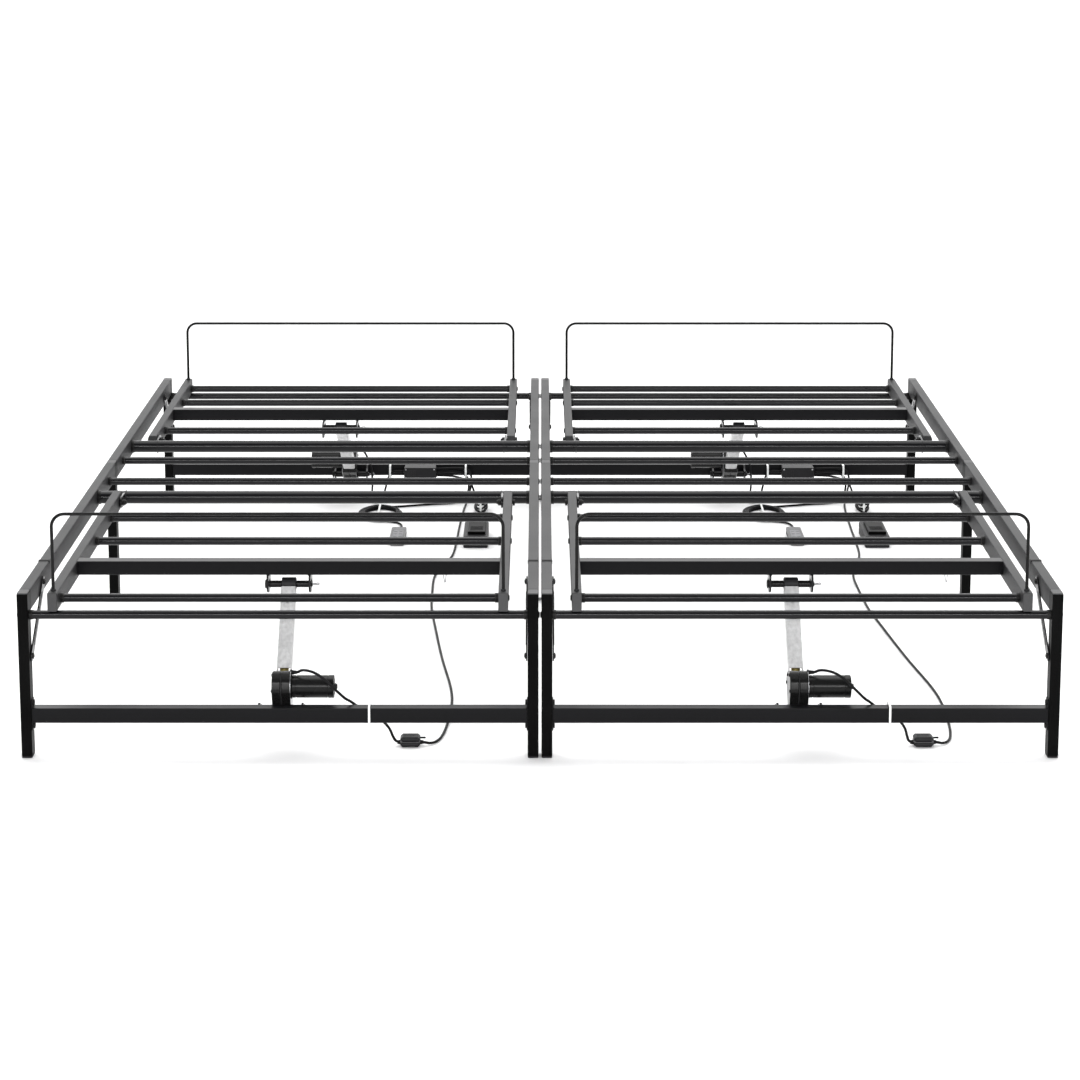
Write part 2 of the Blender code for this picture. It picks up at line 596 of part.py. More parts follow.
def tube_mesh(name, points, radius, resolution):
    """A tube with filled caps along these points, made by a bevelled curve."""
    curve = bpy.data.curves.new(name, "CURVE")
    curve.dimensions = "3D"
    curve.bevel_depth = radius
    curve.bevel_resolution = resolution
    curve.use_fill_caps = True
    spline = curve.splines.new("POLY")
    spline.points.add(len(points) - 1)
    for place, p in zip(spline.points, points):
        place.co = (*p, 1.0)
    return curve


def cord(name, route, step=0.018):
    return tube_mesh(name, smooth_route(route, step), CORD_R, 2)


# ---- placing ---------------------------------------------------------------------
def empty(name, location, angle_x=0.0, angle_z=0.0):
    obj = bpy.data.objects.new(name, None)
    obj.location = location
    obj.rotation_euler = (angle_x, 0.0, angle_z)
    bpy.context.scene.collection.objects.link(obj)
    return obj


def place(name, data, mat, parent, offset=(0, 0, 0)):
    """One named object on its body's empty, shaded smooth across its gentle edges."""
    obj = bpy.data.objects.new(name, data)
    obj.parent = parent
    obj.location = offset
    if not data.materials:
        data.materials.append(mat)
    bpy.context.scene.collection.objects.link(obj)


def part_meshes():
    """Every mesh once: body, node name, data and material."""
    foot_rails = (LEG_D + GAP, MID_LEG_Y - GAP)
    head_rails = (MID_LEG_Y, LENGTH - LEG_D - GAP)
    foot_section_y = (0.002, FOOT_HINGE_Y + RAIL_PAST_HINGE)
    head_section_y = (HEAD_HINGE_Y - RAIL_PAST_HINGE, LENGTH - 0.010)
    paint, plastic = "black_powder_coat", "black_plastic"
    fixed = [
        ("foot_base_frame", base_frame(
            "foot_base_frame", foot_rails, FOOT_HINGE_TUBE_Y, FOOT_SEAT_TUBE_Y, FOOT_HINGE_Y), paint),
        ("head_base_frame", base_frame(
            "head_base_frame", head_rails, HEAD_HINGE_TUBE_Y, HEAD_SEAT_TUBE_Y, HEAD_HINGE_Y,
            (MID_LEG_Y, MID_LEG_Y + LEG_D)), paint),
        ("foot_leg_frame", leg_frame("foot_leg_frame", 1), paint),
        ("head_leg_frame", leg_frame("head_leg_frame", -1), paint),
        ("control_box", control_box("control_box"), plastic),
        ("power_brick", power_brick("power_brick"), plastic),
        ("handset", handset("handset"), plastic),
        ("cable_connector", cable_connector("cable_connector"), plastic),
        ("cable_coil", cable_coil("cable_coil"), "cord_jacket"),
        ("foot_cable_short", cord("foot_cable_short", FOOT_SHORT_ROUTE), "cord_jacket"),
        ("foot_cable_long", cord("foot_cable_long", FOOT_LONG_ROUTE, 0.045), "cord_jacket"),
        ("head_cable", cord("head_cable", HEAD_ROUTE), "cord_jacket"),
        ("handset_cord", cord("handset_cord", HANDSET_ROUTE), "cord_jacket"),
        ("coil_cord", cord("coil_cord", COIL_ROUTE), "cord_jacket"),
        ("power_lead", cord("power_lead", POWER_ROUTE), "cord_jacket"),
    ]
    keypad = [("handset_keypad", handset_keypad("handset_keypad"), "soft_rubber")]
    sections = {
        "foot_section": (FOOT_DRIVE, [
            ("foot_section_frame", section_frame(
                "foot_section_frame", foot_section_y, FOOT_TUBES, FOOT_BEAM, FOOT_DRIVE), paint),
            ("foot_retainer_bar", retainer_bar("foot_retainer_bar", BAR_FROM_END), paint),
        ]),
        "head_section": (HEAD_DRIVE, [
            ("head_section_frame", section_frame(
                "head_section_frame", head_section_y, HEAD_TUBES, HEAD_BEAM, HEAD_DRIVE), paint),
            ("head_retainer_bar", retainer_bar("head_retainer_bar", LENGTH - BAR_FROM_END), paint),
        ]),
    }
    actuators = {}
    for end, drive, gland_side in (("foot", FOOT_DRIVE, 1), ("head", HEAD_DRIVE, -1)):
        actuators[end] = (drive, [
            (end + "_gear_housing", gear_housing(end + "_gear_housing", gland_side), plastic),
            (end + "_motor", motor(end + "_motor"), plastic),
            (end + "_drive_screw", drive_screw(end + "_drive_screw", drive), "bright_steel"),
        ], [
            (end + "_thrust_channel", thrust_channel(end + "_thrust_channel", drive), "bare_aluminium"),
            (end + "_clevis_pin", clevis_pin(end + "_clevis_pin", drive), paint),
        ])
    return fixed, keypad, sections, actuators


def actuator_empty(name, drive, x, y_shift):
    """An empty on the lower pin whose Y axis runs along the screw."""
    facing = 0.0 if drive.sense < 0 else pi
    tilt = drive.rest_angle if drive.sense < 0 else pi - drive.rest_angle
    return empty(name, (x, drive.lower[0] + y_shift, drive.lower[1]), tilt, facing)


def place_unit(side, x, parts, mats):
    fixed, keypad, sections, actuators = parts
    y_shift = -LENGTH / 2
    frame = empty(side + "frame_origin", (x, y_shift, 0))
    for name, data, mat in fixed:
        place(side + name, data, mats[mat], frame)
    keys = empty(side + "keypad_origin", (x, y_shift, 0))
    for name, data, mat in keypad:
        place(side + name, data, mats[mat], keys)
    for body, (drive, pieces) in sections.items():
        hinge = empty(side + body + "_hinge", (x, drive.hinge[0] + y_shift, drive.hinge[1]))
        for name, data, mat in pieces:
            place(side + name, data, mats[mat], hinge, (0, -drive.hinge[0], -drive.hinge[1]))
    for end, (drive, housing, slider) in actuators.items():
        pivot = actuator_empty(side + end + "_actuator_pivot", drive, x, y_shift)
        slide = actuator_empty(side + end + "_rod_slide", drive, x, y_shift)
        for name, data, mat in housing:
            place(side + name, data, mats[mat], pivot)
        for name, data, mat in slider:
            place(side + name, data, mats[mat], slide)


def print_motion():
    for name, drive in (("foot", FOOT_DRIVE), ("head", HEAD_DRIVE)):
        stroke = drive.full_length - drive.rest_length
        swing = drive.full_angle - drive.rest_angle
        print(f"{name}: lift {degrees(drive.lift):.1f} deg, stroke {stroke:.6f} m, "
              f"swing {degrees(swing):.4f} deg, rest angle {degrees(drive.rest_angle):.4f} deg, "
              f"slide ratio {stroke / drive.lift:.6f}, swing ratio {swing / drive.lift:.6f}")


def main():
    for obj in list(bpy.data.objects):
        bpy.data.objects.remove(obj, do_unlink=True)
    mats = make_materials()
    parts = part_meshes()
    for side, sign in (("left_", -1), ("right_", 1)):
        place_unit(side, sign * PITCH / 2, parts, mats)
    print_motion()


main()
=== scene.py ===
# %% [markdown]
# # A pair of adjustable bed bases in bolted steel tube
# Two identical single bases stand side by side. Each has a fixed frame on six legs, a
# foot section and a head section that lift, and a screw drive under each section.
# The working frame is loaded first: it knows every moving body, so each piece made
# here only has to say which body it rides on. All lengths are metres and +Z is up.

# %% Load the working frame
import math
from math import cos, pi, radians, sin

import bmesh
import bpy
from mathutils import Matrix, Vector


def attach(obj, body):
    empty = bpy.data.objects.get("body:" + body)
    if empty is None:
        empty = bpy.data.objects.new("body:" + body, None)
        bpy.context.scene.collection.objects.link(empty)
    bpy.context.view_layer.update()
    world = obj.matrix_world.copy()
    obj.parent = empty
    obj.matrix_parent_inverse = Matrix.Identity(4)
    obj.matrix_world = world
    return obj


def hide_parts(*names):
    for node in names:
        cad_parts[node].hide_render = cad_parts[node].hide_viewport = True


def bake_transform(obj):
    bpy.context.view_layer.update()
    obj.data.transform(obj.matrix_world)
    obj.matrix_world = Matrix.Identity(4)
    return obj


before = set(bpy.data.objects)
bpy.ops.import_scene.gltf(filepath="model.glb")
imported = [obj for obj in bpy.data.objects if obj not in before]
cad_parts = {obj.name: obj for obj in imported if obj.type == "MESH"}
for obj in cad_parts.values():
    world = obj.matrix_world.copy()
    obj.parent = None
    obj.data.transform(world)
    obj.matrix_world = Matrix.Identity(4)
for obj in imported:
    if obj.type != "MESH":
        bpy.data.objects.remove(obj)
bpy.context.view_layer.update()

# %% [markdown]
# ## The camera
# The bases are seen straight from the foot end, a little above standing eye height.
# A long lens flattens the depth, and a small upward shift keeps the legs nearly
# upright, the way a tilted view camera does. The shift stays small so that the same
# camera still frames the object well when it is moved round to the sides.

# %% Camera
PIXELS_TO_LENS = 36.0 / 1080.0
camera_data = bpy.data.cameras.new("studio_camera")
camera_data.sensor_width = 36.0
camera_data.lens = 2759.6 * PIXELS_TO_LENS
camera_data.shift_y = -0.2
camera_data.clip_end = 200.0
camera = bpy.data.objects.new("studio_camera", camera_data)
camera.location = (0.0, -1.005 - 4.857, 1.680)
camera.rotation_euler = (radians(90.0 - 10.14), 0.0, 0.0)
bpy.context.scene.collection.objects.link(camera)
bpy.context.scene.camera = camera
print("lens", round(camera_data.lens, 1), "mm")

# %% [markdown]
# ## Where things are on one base
# Everything is drawn once for a base whose centre line is at x = 0 and whose foot end
# is at y = 0, and is then copied to the left and right base. Writing the few main
# sizes down here means that every later cell can use a name instead of a number.

# %% Main sizes
CENTRE_X = 0.4781          # half the distance between the two centre lines
LENGTH = 2.010
DECK = 0.313               # top of every rail
OUTER, INNER = 0.4754, 0.4554          # faces of a side rail
SECTION_OUT, SECTION_IN = 0.420, 0.402  # faces of a lifting section's rail
TUBE_Z, TUBE_R, HINGE_TUBE_R = 0.293, 0.008, 0.0135
HINGE_Z = 0.2955
HINGE_Y = {"foot": 0.765, "head": 1.362}
UPPER_PIN = {"foot": (0.235, 0.266), "head": (1.635, 0.266)}
LOWER_PIN = {"foot": (0.055, 0.075), "head": (1.955, 0.075)}
PLATE_X = (0.038, 0.042)
SIDES = {"left": -1, "right": 1}
print("one base is", LENGTH, "m long and", 2 * OUTER, "m wide")


# %% [markdown]
# ## Finishes
# A finish is a small node tree. Fine noise gives the grain that powder coat or moulded
# plastic has, wide noise makes some places a little shinier than others, and the
# bevel node finds edges, where handling rubs a coat thin. One helper builds the tree,
# because all the finishes differ only in their numbers. Noise is read in the object's
# own coordinates, so the grain travels with a part when the bed moves.

# %% A helper that builds a finish
def finish(name, dark, light, rough, grain=700.0, bump=0.12, wear=0.0, wear_colour=(0.2, 0.2, 0.2),
           metal=0.0, stretch=(1.0, 1.0, 1.0), specular=0.5, coat=0.0, sheen=0.0):
    mat = bpy.data.materials.new(name)
    mat.use_nodes = True
    tree = mat.node_tree
    shader = tree.nodes["Principled BSDF"]
    add, link = tree.nodes.new, tree.links.new
    place = add("ShaderNodeTexCoord")
    mapping = add("ShaderNodeMapping")
    mapping.inputs["Scale"].default_value = stretch
    link(place.outputs["Object"], mapping.inputs["Vector"])
    fine, wide = add("ShaderNodeTexNoise"), add("ShaderNodeTexNoise")
    for noise, scale, detail in ((fine, grain, 3.0), (wide, 9.0, 2.0)):
        noise.inputs["Scale"].default_value = scale
        noise.inputs["Detail"].default_value = detail
        link(mapping.outputs["Vector"], noise.inputs["Vector"])
    tone = add("ShaderNodeMix")
    tone.data_type = "RGBA"
    tone.inputs["A"].default_value, tone.inputs["B"].default_value = (*dark, 1.0), (*light, 1.0)
    blend = add("ShaderNodeMath")
    blend.operation = "MULTIPLY"
    link(fine.outputs["Fac"], blend.inputs[0])
    link(wide.outputs["Fac"], blend.inputs[1])
    spread = add("ShaderNodeMapRange")
    spread.inputs["From Min"].default_value, spread.inputs["From Max"].default_value = 0.12, 0.42
    link(blend.outputs["Value"], spread.inputs["Value"])
    link(spread.outputs["Result"], tone.inputs["Factor"])
    colour = tone.outputs["Result"]
    if wear:
        bevel = add("ShaderNodeBevel")
        bevel.samples = 2
        bevel.inputs["Radius"].default_value = 0.0012
        geometry, match = add("ShaderNodeNewGeometry"), add("ShaderNodeVectorMath")
        match.operation = "DOT_PRODUCT"
        link(bevel.outputs["Normal"], match.inputs[0])
        link(geometry.outputs["Normal"], match.inputs[1])
        edge = add("ShaderNodeMapRange")
        for socket, value in (("From Min", 0.995), ("From Max", 0.80), ("To Max", wear)):
            edge.inputs[socket].default_value = value
        link(match.outputs["Value"], edge.inputs["Value"])
        patchy = add("ShaderNodeMath")
        patchy.operation = "MULTIPLY"
        link(edge.outputs["Result"], patchy.inputs[0])
        link(spread.outputs["Result"], patchy.inputs[1])
        worn = add("ShaderNodeMix")
        worn.data_type = "RGBA"
        worn.inputs["B"].default_value = (*wear_colour, 1.0)
        link(patchy.outputs["Value"], worn.inputs["Factor"])
        link(colour, worn.inputs["A"])
        colour = worn.outputs["Result"]
    link(colour, shader.inputs["Base Color"])
    gloss = add("ShaderNodeMapRange")
    gloss.inputs["To Min"].default_value, gloss.inputs["To Max"].default_value = rough
    link(wide.outputs["Fac"], gloss.inputs["Value"])
    link(gloss.outputs["Result"], shader.inputs["Roughness"])
    relief = add("ShaderNodeBump")
    relief.inputs["Strength"].default_value = bump
    relief.inputs["Distance"].default_value = 0.0004
    link(fine.outputs["Fac"], relief.inputs["Height"])
    link(relief.outputs["Normal"], shader.inputs["Normal"])
    shader.inputs["Metallic"].default_value = metal
    shader.inputs["Specular IOR Level"].default_value = specular
    shader.inputs["Coat Weight"].default_value = coat
    shader.inputs["Sheen Weight"].default_value = sheen
    return mat


# %% [markdown]
# ## The finishes of this bed
# The tube is powder coated in satin black. The rails of the sections and the side
# rails have a slightly rougher coat than the cross beams, so they look a softer grey
# where light grazes them. The legs, the rail saddles and the adaptor's cover get a
# darker and less shiny copy of the same black coat, which paints the shade on the
# legs' fronts. The drives have glossy black plastic, a galvanised channel, a brass nut
# and plain steel pins. The ties are natural white nylon.

# %% Make the finishes
BLACK = (0.0045, 0.0045, 0.005)
FINISH = {
    "rail_coat": finish("rail_coat", BLACK, (0.011, 0.011, 0.012), (0.46, 0.58), grain=520.0, bump=0.30,
                        wear=0.35,
                        wear_colour=(0.10, 0.10, 0.10), specular=0.22),
    "beam_coat": finish("beam_coat", BLACK, (0.005, 0.005, 0.006), (0.27, 0.36), bump=0.08, wear=0.30,
                        wear_colour=(0.08, 0.08, 0.08), specular=0.09),
    # The same black coat made darker and less shiny, as painted shade for the legs' fronts. The rail
    # saddles and the adaptor cover use it too.
    "shade_darkened_coat": finish("shade_darkened_coat", (0.001, 0.001, 0.001), (0.004, 0.004, 0.004), (0.34, 0.46), bump=0.16,
                       wear=0.15,
                       wear_colour=(0.06, 0.06, 0.06), specular=0.03),
    "tube_coat": finish("tube_coat", BLACK, (0.005, 0.005, 0.006), (0.20, 0.26), bump=0.015,
                        specular=0.19),
    "bolt_black": finish("bolt_black", (0.004, 0.004, 0.004), (0.012, 0.012, 0.012), (0.32, 0.5),
                         grain=1500.0,
                         bump=0.15, wear=0.5, wear_colour=(0.16, 0.15, 0.14), specular=0.12),
    "gloss_wire": finish("gloss_wire", (0.003, 0.003, 0.003), (0.008, 0.008, 0.008), (0.22, 0.34),
                         grain=1200.0,
                         bump=0.08, specular=0.12),
    "plug_plastic": finish("plug_plastic", (0.020, 0.020, 0.021), (0.035, 0.035, 0.036), (0.50, 0.62),
                           grain=1100.0, bump=0.25, specular=0.45),
    "gloss_plastic": finish("gloss_plastic", (0.003, 0.003, 0.003), (0.008, 0.008, 0.008), (0.20, 0.32),
                            grain=500.0, bump=0.06, wear=0.2, wear_colour=(0.07, 0.07, 0.07),
                            specular=0.14),
    "matt_plastic": finish("matt_plastic", (0.010, 0.010, 0.011), (0.020, 0.020, 0.021), (0.42, 0.55),
                           grain=1300.0, bump=0.30, wear=0.35, wear_colour=(0.10, 0.10, 0.10),
                           specular=0.14),
    "grey_plastic": finish("grey_plastic", (0.055, 0.055, 0.058), (0.095, 0.095, 0.100), (0.40, 0.52),
                           grain=1300.0, bump=0.22, wear=0.3, wear_colour=(0.35, 0.35, 0.35)),
    "key_rubber": finish("key_rubber", (0.16, 0.16, 0.165), (0.26, 0.26, 0.27), (0.55, 0.7),
                         grain=1600.0, bump=0.3),
    "galvanised": finish("galvanised", (0.46, 0.46, 0.46), (0.68, 0.68, 0.68), (0.34, 0.50), grain=160.0,
                         bump=0.05, metal=0.75, stretch=(1.0, 1.0, 0.4)),
    "plain_steel": finish("plain_steel", (0.26, 0.26, 0.27), (0.48, 0.48, 0.49), (0.24, 0.40),
                          grain=900.0,
                          bump=0.10, metal=1.0, stretch=(0.15, 1.0, 1.0)),
    "brass": finish("brass", (0.24, 0.19, 0.06), (0.50, 0.40, 0.14), (0.28, 0.42), grain=900.0,
                    bump=0.08, metal=1.0),
    "cord_jacket": finish("cord_jacket", (0.004, 0.004, 0.004), (0.011, 0.011, 0.012), (0.40, 0.55),
                          grain=1800.0, bump=0.25, specular=0.08),
    "white_nylon": finish("white_nylon", (0.72, 0.73, 0.72), (0.86, 0.87, 0.86), (0.35, 0.5),
                          grain=1200.0, bump=0.12),
}
print(len(FINISH), "finishes")


# %% [markdown]
# ## Turning a list of rings into a skin
# Almost every part of a bed frame is a section moved along a line: tube, bar, bolt,
# cord. So one helper joins rings of points into a closed skin, and the others only
# decide where the rings go. Writing mesh code like this keeps every wall exactly where
# the working frame has it.

# %% Skin, rounded section and the three ways to sweep it
AXES = {"X": lambda u, v, w: (w, u, v), "Y": lambda u, v, w: (u, w, v), "Z": lambda u, v, w: (u, v, w)}


def skin(bm, rings, closed=False):
    """Joins rings of equally many points; the ends are filled unless the rings close on themselves."""
    loops = [[bm.verts.new(p) for p in ring] for ring in rings]
    pairs = list(zip(loops, loops[1:])) + ([(loops[-1], loops[0])] if closed else [])
    faces = []
    for a, b in pairs:
        for i in range(len(a)):
            j = (i + 1) % len(a)
            faces.append(bm.faces.new((a[i], a[j], b[j], b[i])))
    if not closed:
        faces += [bm.faces.new(loops[0][::-1]), bm.faces.new(loops[-1])]
    bmesh.ops.recalc_face_normals(bm, faces=faces)
    return faces


def rounded(u0, u1, v0, v1, corner, steps=4):
    """The outline of a rectangle whose corners are arcs."""
    points = []
    for cu, cv, start in ((u1 - corner, v1 - corner, 0), (u0 + corner, v1 - corner, 1),
                          (u0 + corner, v0 + corner, 2), (u1 - corner, v0 + corner, 3)):
        for k in range(steps + 1):
            a = (start + k / steps) * pi / 2
            points.append((cu + corner * cos(a), cv + corner * sin(a)))
    return points


def bar(bm, axis, u, v, w, corner=0.0018, rim=0.0004, steps=4):
    """A rectangular bar with rounded long edges and slightly eased ends."""
    rings = []
    for inset, at in ((rim, w[0]), (0.0, w[0] + rim), (0.0, w[1] - rim), (rim, w[1])):
        outline = rounded(u[0] + inset, u[1] - inset, v[0] + inset, v[1] - inset,
                          max(corner - inset, 1e-4), steps)
        rings.append([AXES[axis](a, b, at) for a, b in outline])
    return skin(bm, rings)


def turned(bm, axis, at, profile, sides=24, phase=0.0):
    """A turned piece: (distance along the axis, radius, how hexagonal) for each ring."""
    rings = []
    for w, radius, hexagonal in profile:
        ring = []
        for k in range(sides):
            a = 2 * pi * k / sides + phase
            facet = (a - phase + pi / 6) % (pi / 3) - pi / 6
            r = radius * (1 + hexagonal * (1 / cos(facet) - 1))
            ring.append(AXES[axis](at[0] + r * cos(a), at[1] + r * sin(a), w))
        rings.append(ring)
    return skin(bm, rings)


def rod(bm, axis, at, radius, w, ease=0.0005, sides=24):
    """A plain round rod or tube with eased ends."""
    return turned(bm, axis, at, [(w[0], radius - ease, 0), (w[0] + ease, radius, 0),
                                 (w[1] - ease, radius, 0), (w[1], radius - ease, 0)], sides)


def plate(bm, outline, x, ease=0.0005):
    """A flat plate: an outline in Y and Z with a thickness along X and eased rims."""
    middle = Vector((sum(p[0] for p in outline) / len(outline),
                     sum(p[1] for p in outline) / len(outline)))

    def shrunk(p):
        towards = middle - Vector(p)
        return Vector(p) + towards.normalized() * min(ease, towards.length / 2)

    inner = [shrunk(p) for p in outline]
    rings = [[(at, q[0], q[1]) for q in ring]
             for ring, at in ((inner, x[0]), (outline, x[0] + ease), (outline, x[1] - ease),
                              (inner, x[1]))]
    return skin(bm, rings)


def facing(side, near, far):
    """Two distances from the centre line as ordered x values on one side."""
    return tuple(sorted((side * near, side * far)))


print("mesh helpers ready")


# %% [markdown]
# ## From a mesh to a piece on both bases
# A finished mesh is copied to the left and the right base, gets its finish, and is told
# which body it rides on. Smooth shading with a sharp-edge limit and a weighted-normal
# modifier make flat faces look flat and small roundings catch the light.

# %% Put a piece on both bases
def piece(name, bm, finish_name, body="frame", stands_for=(), weighted=True, side=None):
    made = []
    for label in ([side] if side else SIDES):
        mesh = bpy.data.meshes.new(f"{label}_{name}")
        bm.to_mesh(mesh)
        mesh.transform(Matrix.Translation((SIDES[label] * CENTRE_X, -LENGTH / 2, 0.0)))
        mesh.materials.append(FINISH[finish_name])
        mesh.shade_smooth()
        mesh.set_sharp_from_angle(angle=radians(38))
        obj = bpy.data.objects.new(f"{label}_{name}", mesh)
        bpy.context.scene.collection.objects.link(obj)
        if weighted:
            obj.modifiers.new("flat faces", "WEIGHTED_NORMAL").keep_sharp = True
        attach(obj, "frame" if body == "frame" else f"{label}_{body}")
        if stands_for:
            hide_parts(*(f"{label}_{node}" for node in stands_for))
        made.append(obj)
    bm.free()
    return made


def placed(label, point):
    """A point of one base in the room's own coordinates."""
    return (point[0] + SIDES[label] * CENTRE_X, point[1] - LENGTH / 2, point[2])


# %% [markdown]
# ## Cords: a route becomes a tube
# A cable is a length of something flexible, so its shape is one smooth curve through a
# few listed points: straight out of the gland, down under its own weight, then along
# the floor. A curve object would do for the lying ones; a mesh tube is used for all of
# them.

# %% Smooth routes and the tube that follows them
CORD_R = 0.0026


def smooth(points, step=0.004):
    """Evenly spaced points on a smooth curve through the given ones."""
    route = [Vector(p) for p in points]
    ends = [route[0] * 2 - route[1], *route, route[-1] * 2 - route[-2]]
    fine = []
    for a, b, c, d in zip(ends, ends[1:], ends[2:], ends[3:]):
        for k in range(16):
            t = k / 16
            fine.append(b * (2 * t**3 - 3 * t**2 + 1) + (c - a) / 2 * (t**3 - 2 * t**2 + t)
                        + c * (3 * t**2 - 2 * t**3) + (d - b) / 2 * (t**3 - t**2))
    fine.append(route[-1])
    lengths = [0.0]
    for p, q in zip(fine, fine[1:]):
        lengths.append(lengths[-1] + (q - p).length)
    count = max(4, round(lengths[-1] / step))
    even, i = [], 0
    for k in range(count + 1):
        target = lengths[-1] * k / count
        while i < len(fine) - 2 and lengths[i + 1] < target:
            i += 1
        share = (target - lengths[i]) / max(lengths[i + 1] - lengths[i], 1e-9)
        even.append(fine[i].lerp(fine[i + 1], min(max(share, 0.0), 1.0)))
    return even


def length_of(points):
    return sum((q - p).length for p, q in zip(points, points[1:]))


def tube(bm, points, radius, sides=12):
    """A round tube along the points; each ring is carried on from the last, so it never twists."""
    points = [Vector(p) for p in points]
    along = (points[1] - points[0]).normalized()
    across = along.orthogonal().normalized()
    rings = []
    for i, p in enumerate(points):
        ahead = (points[min(i + 1, len(points) - 1)] - points[max(i - 1, 0)]).normalized()
        across = (across - ahead * across.dot(ahead)).normalized()
        other = ahead.cross(across)
        rings.append([p + radius * (across * cos(a) + other * sin(a))
                      for a in (2 * pi * k / sides for k in range(sides))])
    return skin(bm, rings)


def cord(name, points, stands_for, bend_to=None):
    """Lays one cord on each base and prints its length."""
    for label in SIDES:
        route = [Vector(placed(label, p)) for p in points]
        bm = bmesh.new()
        tube(bm, route, CORD_R)
        mesh = bpy.data.meshes.new(f"{label}_{name}")
        bm.to_mesh(mesh)
        bm.free()
        mesh.materials.append(FINISH["cord_jacket"])
        mesh.shade_smooth()
        obj = bpy.data.objects.new(f"{label}_{name}", mesh)
        bpy.context.scene.collection.objects.link(obj)
        if bend_to:
            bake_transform(obj)
        else:
            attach(obj, "frame")
        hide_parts(*(f"{label}_{node}" for node in stands_for))
    print(name, round(length_of([Vector(p) for p in points]), 3), "m")


# %% [markdown]
# ## The motor cables
# Each drive has a short cable that leaves a gland beside the motor. The foot one arches
# over the motor, drops behind the lower beam, is tied there and ends in an in-line
# connector on the floor. Where a cable is held by the drive it would have to move with
# it; these two cables are attached to no body and stay where they are.

# %% Motor cables
FOOT_SHORT = [(0.0235, 0.055, 0.147), (0.030, 0.0545, 0.1475), (0.038, 0.046, 0.1535),
              (0.050, 0.036, 0.156),
              (0.064, 0.026, 0.1545), (0.080, 0.020, 0.146), (0.100, 0.017, 0.1275),
              (0.118, 0.022, 0.1085),
              (0.129, 0.031, 0.0985), (0.144, 0.035, 0.0860), (0.163, 0.0316, 0.076),
              (0.184, 0.037, 0.062),
              (0.198, 0.048, 0.042), (0.2045, 0.060, 0.022), (0.208, 0.068, 0.012),
              (0.2125, 0.072, 0.0075),
              (0.2175, 0.072, 0.0065)]
FOOT_LONG = [(0.2553, 0.072, 0.0065), (0.262, 0.072, 0.0062), (0.272, 0.0735, 0.004),
             (0.283, 0.084, 0.003),
             (0.293, 0.113, 0.003), (0.301, 0.182, 0.003), (0.306, 0.304, 0.003), (0.300, 0.422, 0.003),
             (0.276, 0.618, 0.003), (0.251, 0.870, 0.003), (0.241, 0.980, 0.003), (0.237, 1.122, 0.003),
             (0.238, 1.250, 0.003), (0.257, 1.350, 0.003), (0.273, 1.440, 0.003), (0.278, 1.560, 0.003),
             (0.281, 1.700, 0.003), (0.286, 1.850, 0.003), (0.290, 1.915, 0.0035),
             (0.2935, 1.935, 0.0085),
             (0.2985, 1.948, 0.026), (0.303, 1.953, 0.045), (0.3045, 1.957, 0.064), (0.300, 1.960, 0.080),
             (0.288, 1.963, 0.0875), (0.262, 1.9655, 0.0885), (0.2182, 1.966, 0.0865)]
HEAD = [(0.0235, 1.9360, 0.1446), (0.0295, 1.9358, 0.1438), (0.040, 1.934, 0.1300),
        (0.052, 1.932, 0.1000),
        (0.055, 1.934, 0.0600), (0.053, 1.939, 0.0180), (0.057, 1.946, 0.0044), (0.068, 1.952, 0.0038),
        (0.079, 1.958, 0.0120), (0.087, 1.965, 0.0400), (0.095, 1.970, 0.0670), (0.109, 1.969, 0.0790),
        (0.1312, 1.966, 0.0800)]
cord("foot_motor_lead", smooth(FOOT_SHORT), ["foot_cable_short"],
     bend_to=("foot_actuator", (0.150, 0.034, 0.082), (0.030, 0.052, 0.148)))
cord("long_foot_lead", smooth(FOOT_LONG, 0.008), ["foot_cable_long"])
cord("head_motor_lead", smooth(HEAD), ["head_cable"],
     bend_to=("head_actuator", (0.056, 1.934, 0.060), (0.0260, 1.936, 0.142)))

# %% [markdown]
# ## The handset cord and its coil
# The spare cord between the control box and the handset is wound into a flat oval coil
# on the floor, three turns wide and two high, so the whole cord is one line: in from
# the box, round the outer lane, inwards, up a layer, outwards again, and off to the
# handset. Each turn keeps to its own lane, one cord's width from the next.

# %% Handset cord with its coil, and the lead of the mains adaptor
BOX_TO_COIL = [(0.2182, 1.966, 0.0780), (0.260, 1.9675, 0.0785), (0.283, 1.9675, 0.0735),
               (0.295, 1.966, 0.0620),
               (0.2975, 1.9645, 0.0450), (0.2935, 1.963, 0.0220), (0.280, 1.956, 0.0060),
               (0.255, 1.943, 0.0030),
               (0.205, 1.932, 0.0030), (0.152, 1.9160, 0.0030), (0.112, 1.9040, 0.0030)]
COIL_TO_HANDSET = [(0.112, 1.7510, 0.0030), (0.131, 1.737, 0.0030), (0.139, 1.714, 0.0030),
                   (0.139, 1.690, 0.0040), (0.1366, 1.6630, 0.0078), (0.1365, 1.6557, 0.0080)]
POWER = [(0.3276, 1.6587, 0.0140), (0.3276, 1.6660, 0.0137), (0.328, 1.700, 0.0050),
         (0.330, 1.790, 0.0030),
         (0.340, 1.880, 0.0030), (0.340, 1.912, 0.0030), (0.333, 1.930, 0.0050), (0.322, 1.937, 0.0130),
         (0.3135, 1.940, 0.0270), (0.3085, 1.942, 0.0420), (0.301, 1.945, 0.0560), (0.285, 1.950, 0.0640),
         (0.262, 1.957, 0.0690), (0.240, 1.963, 0.0695), (0.2182, 1.966, 0.0695)]
COIL_MIDDLE, COIL_HALF = (0.081, 1.828), (0.046, 0.062)
LANE = 0.0054
LANES = [(1, 0), (0, 0), (-1, 0), (-1, 1), (0, 1),
         (1, 1)]   # lanes outwards from the middle one, and the layer


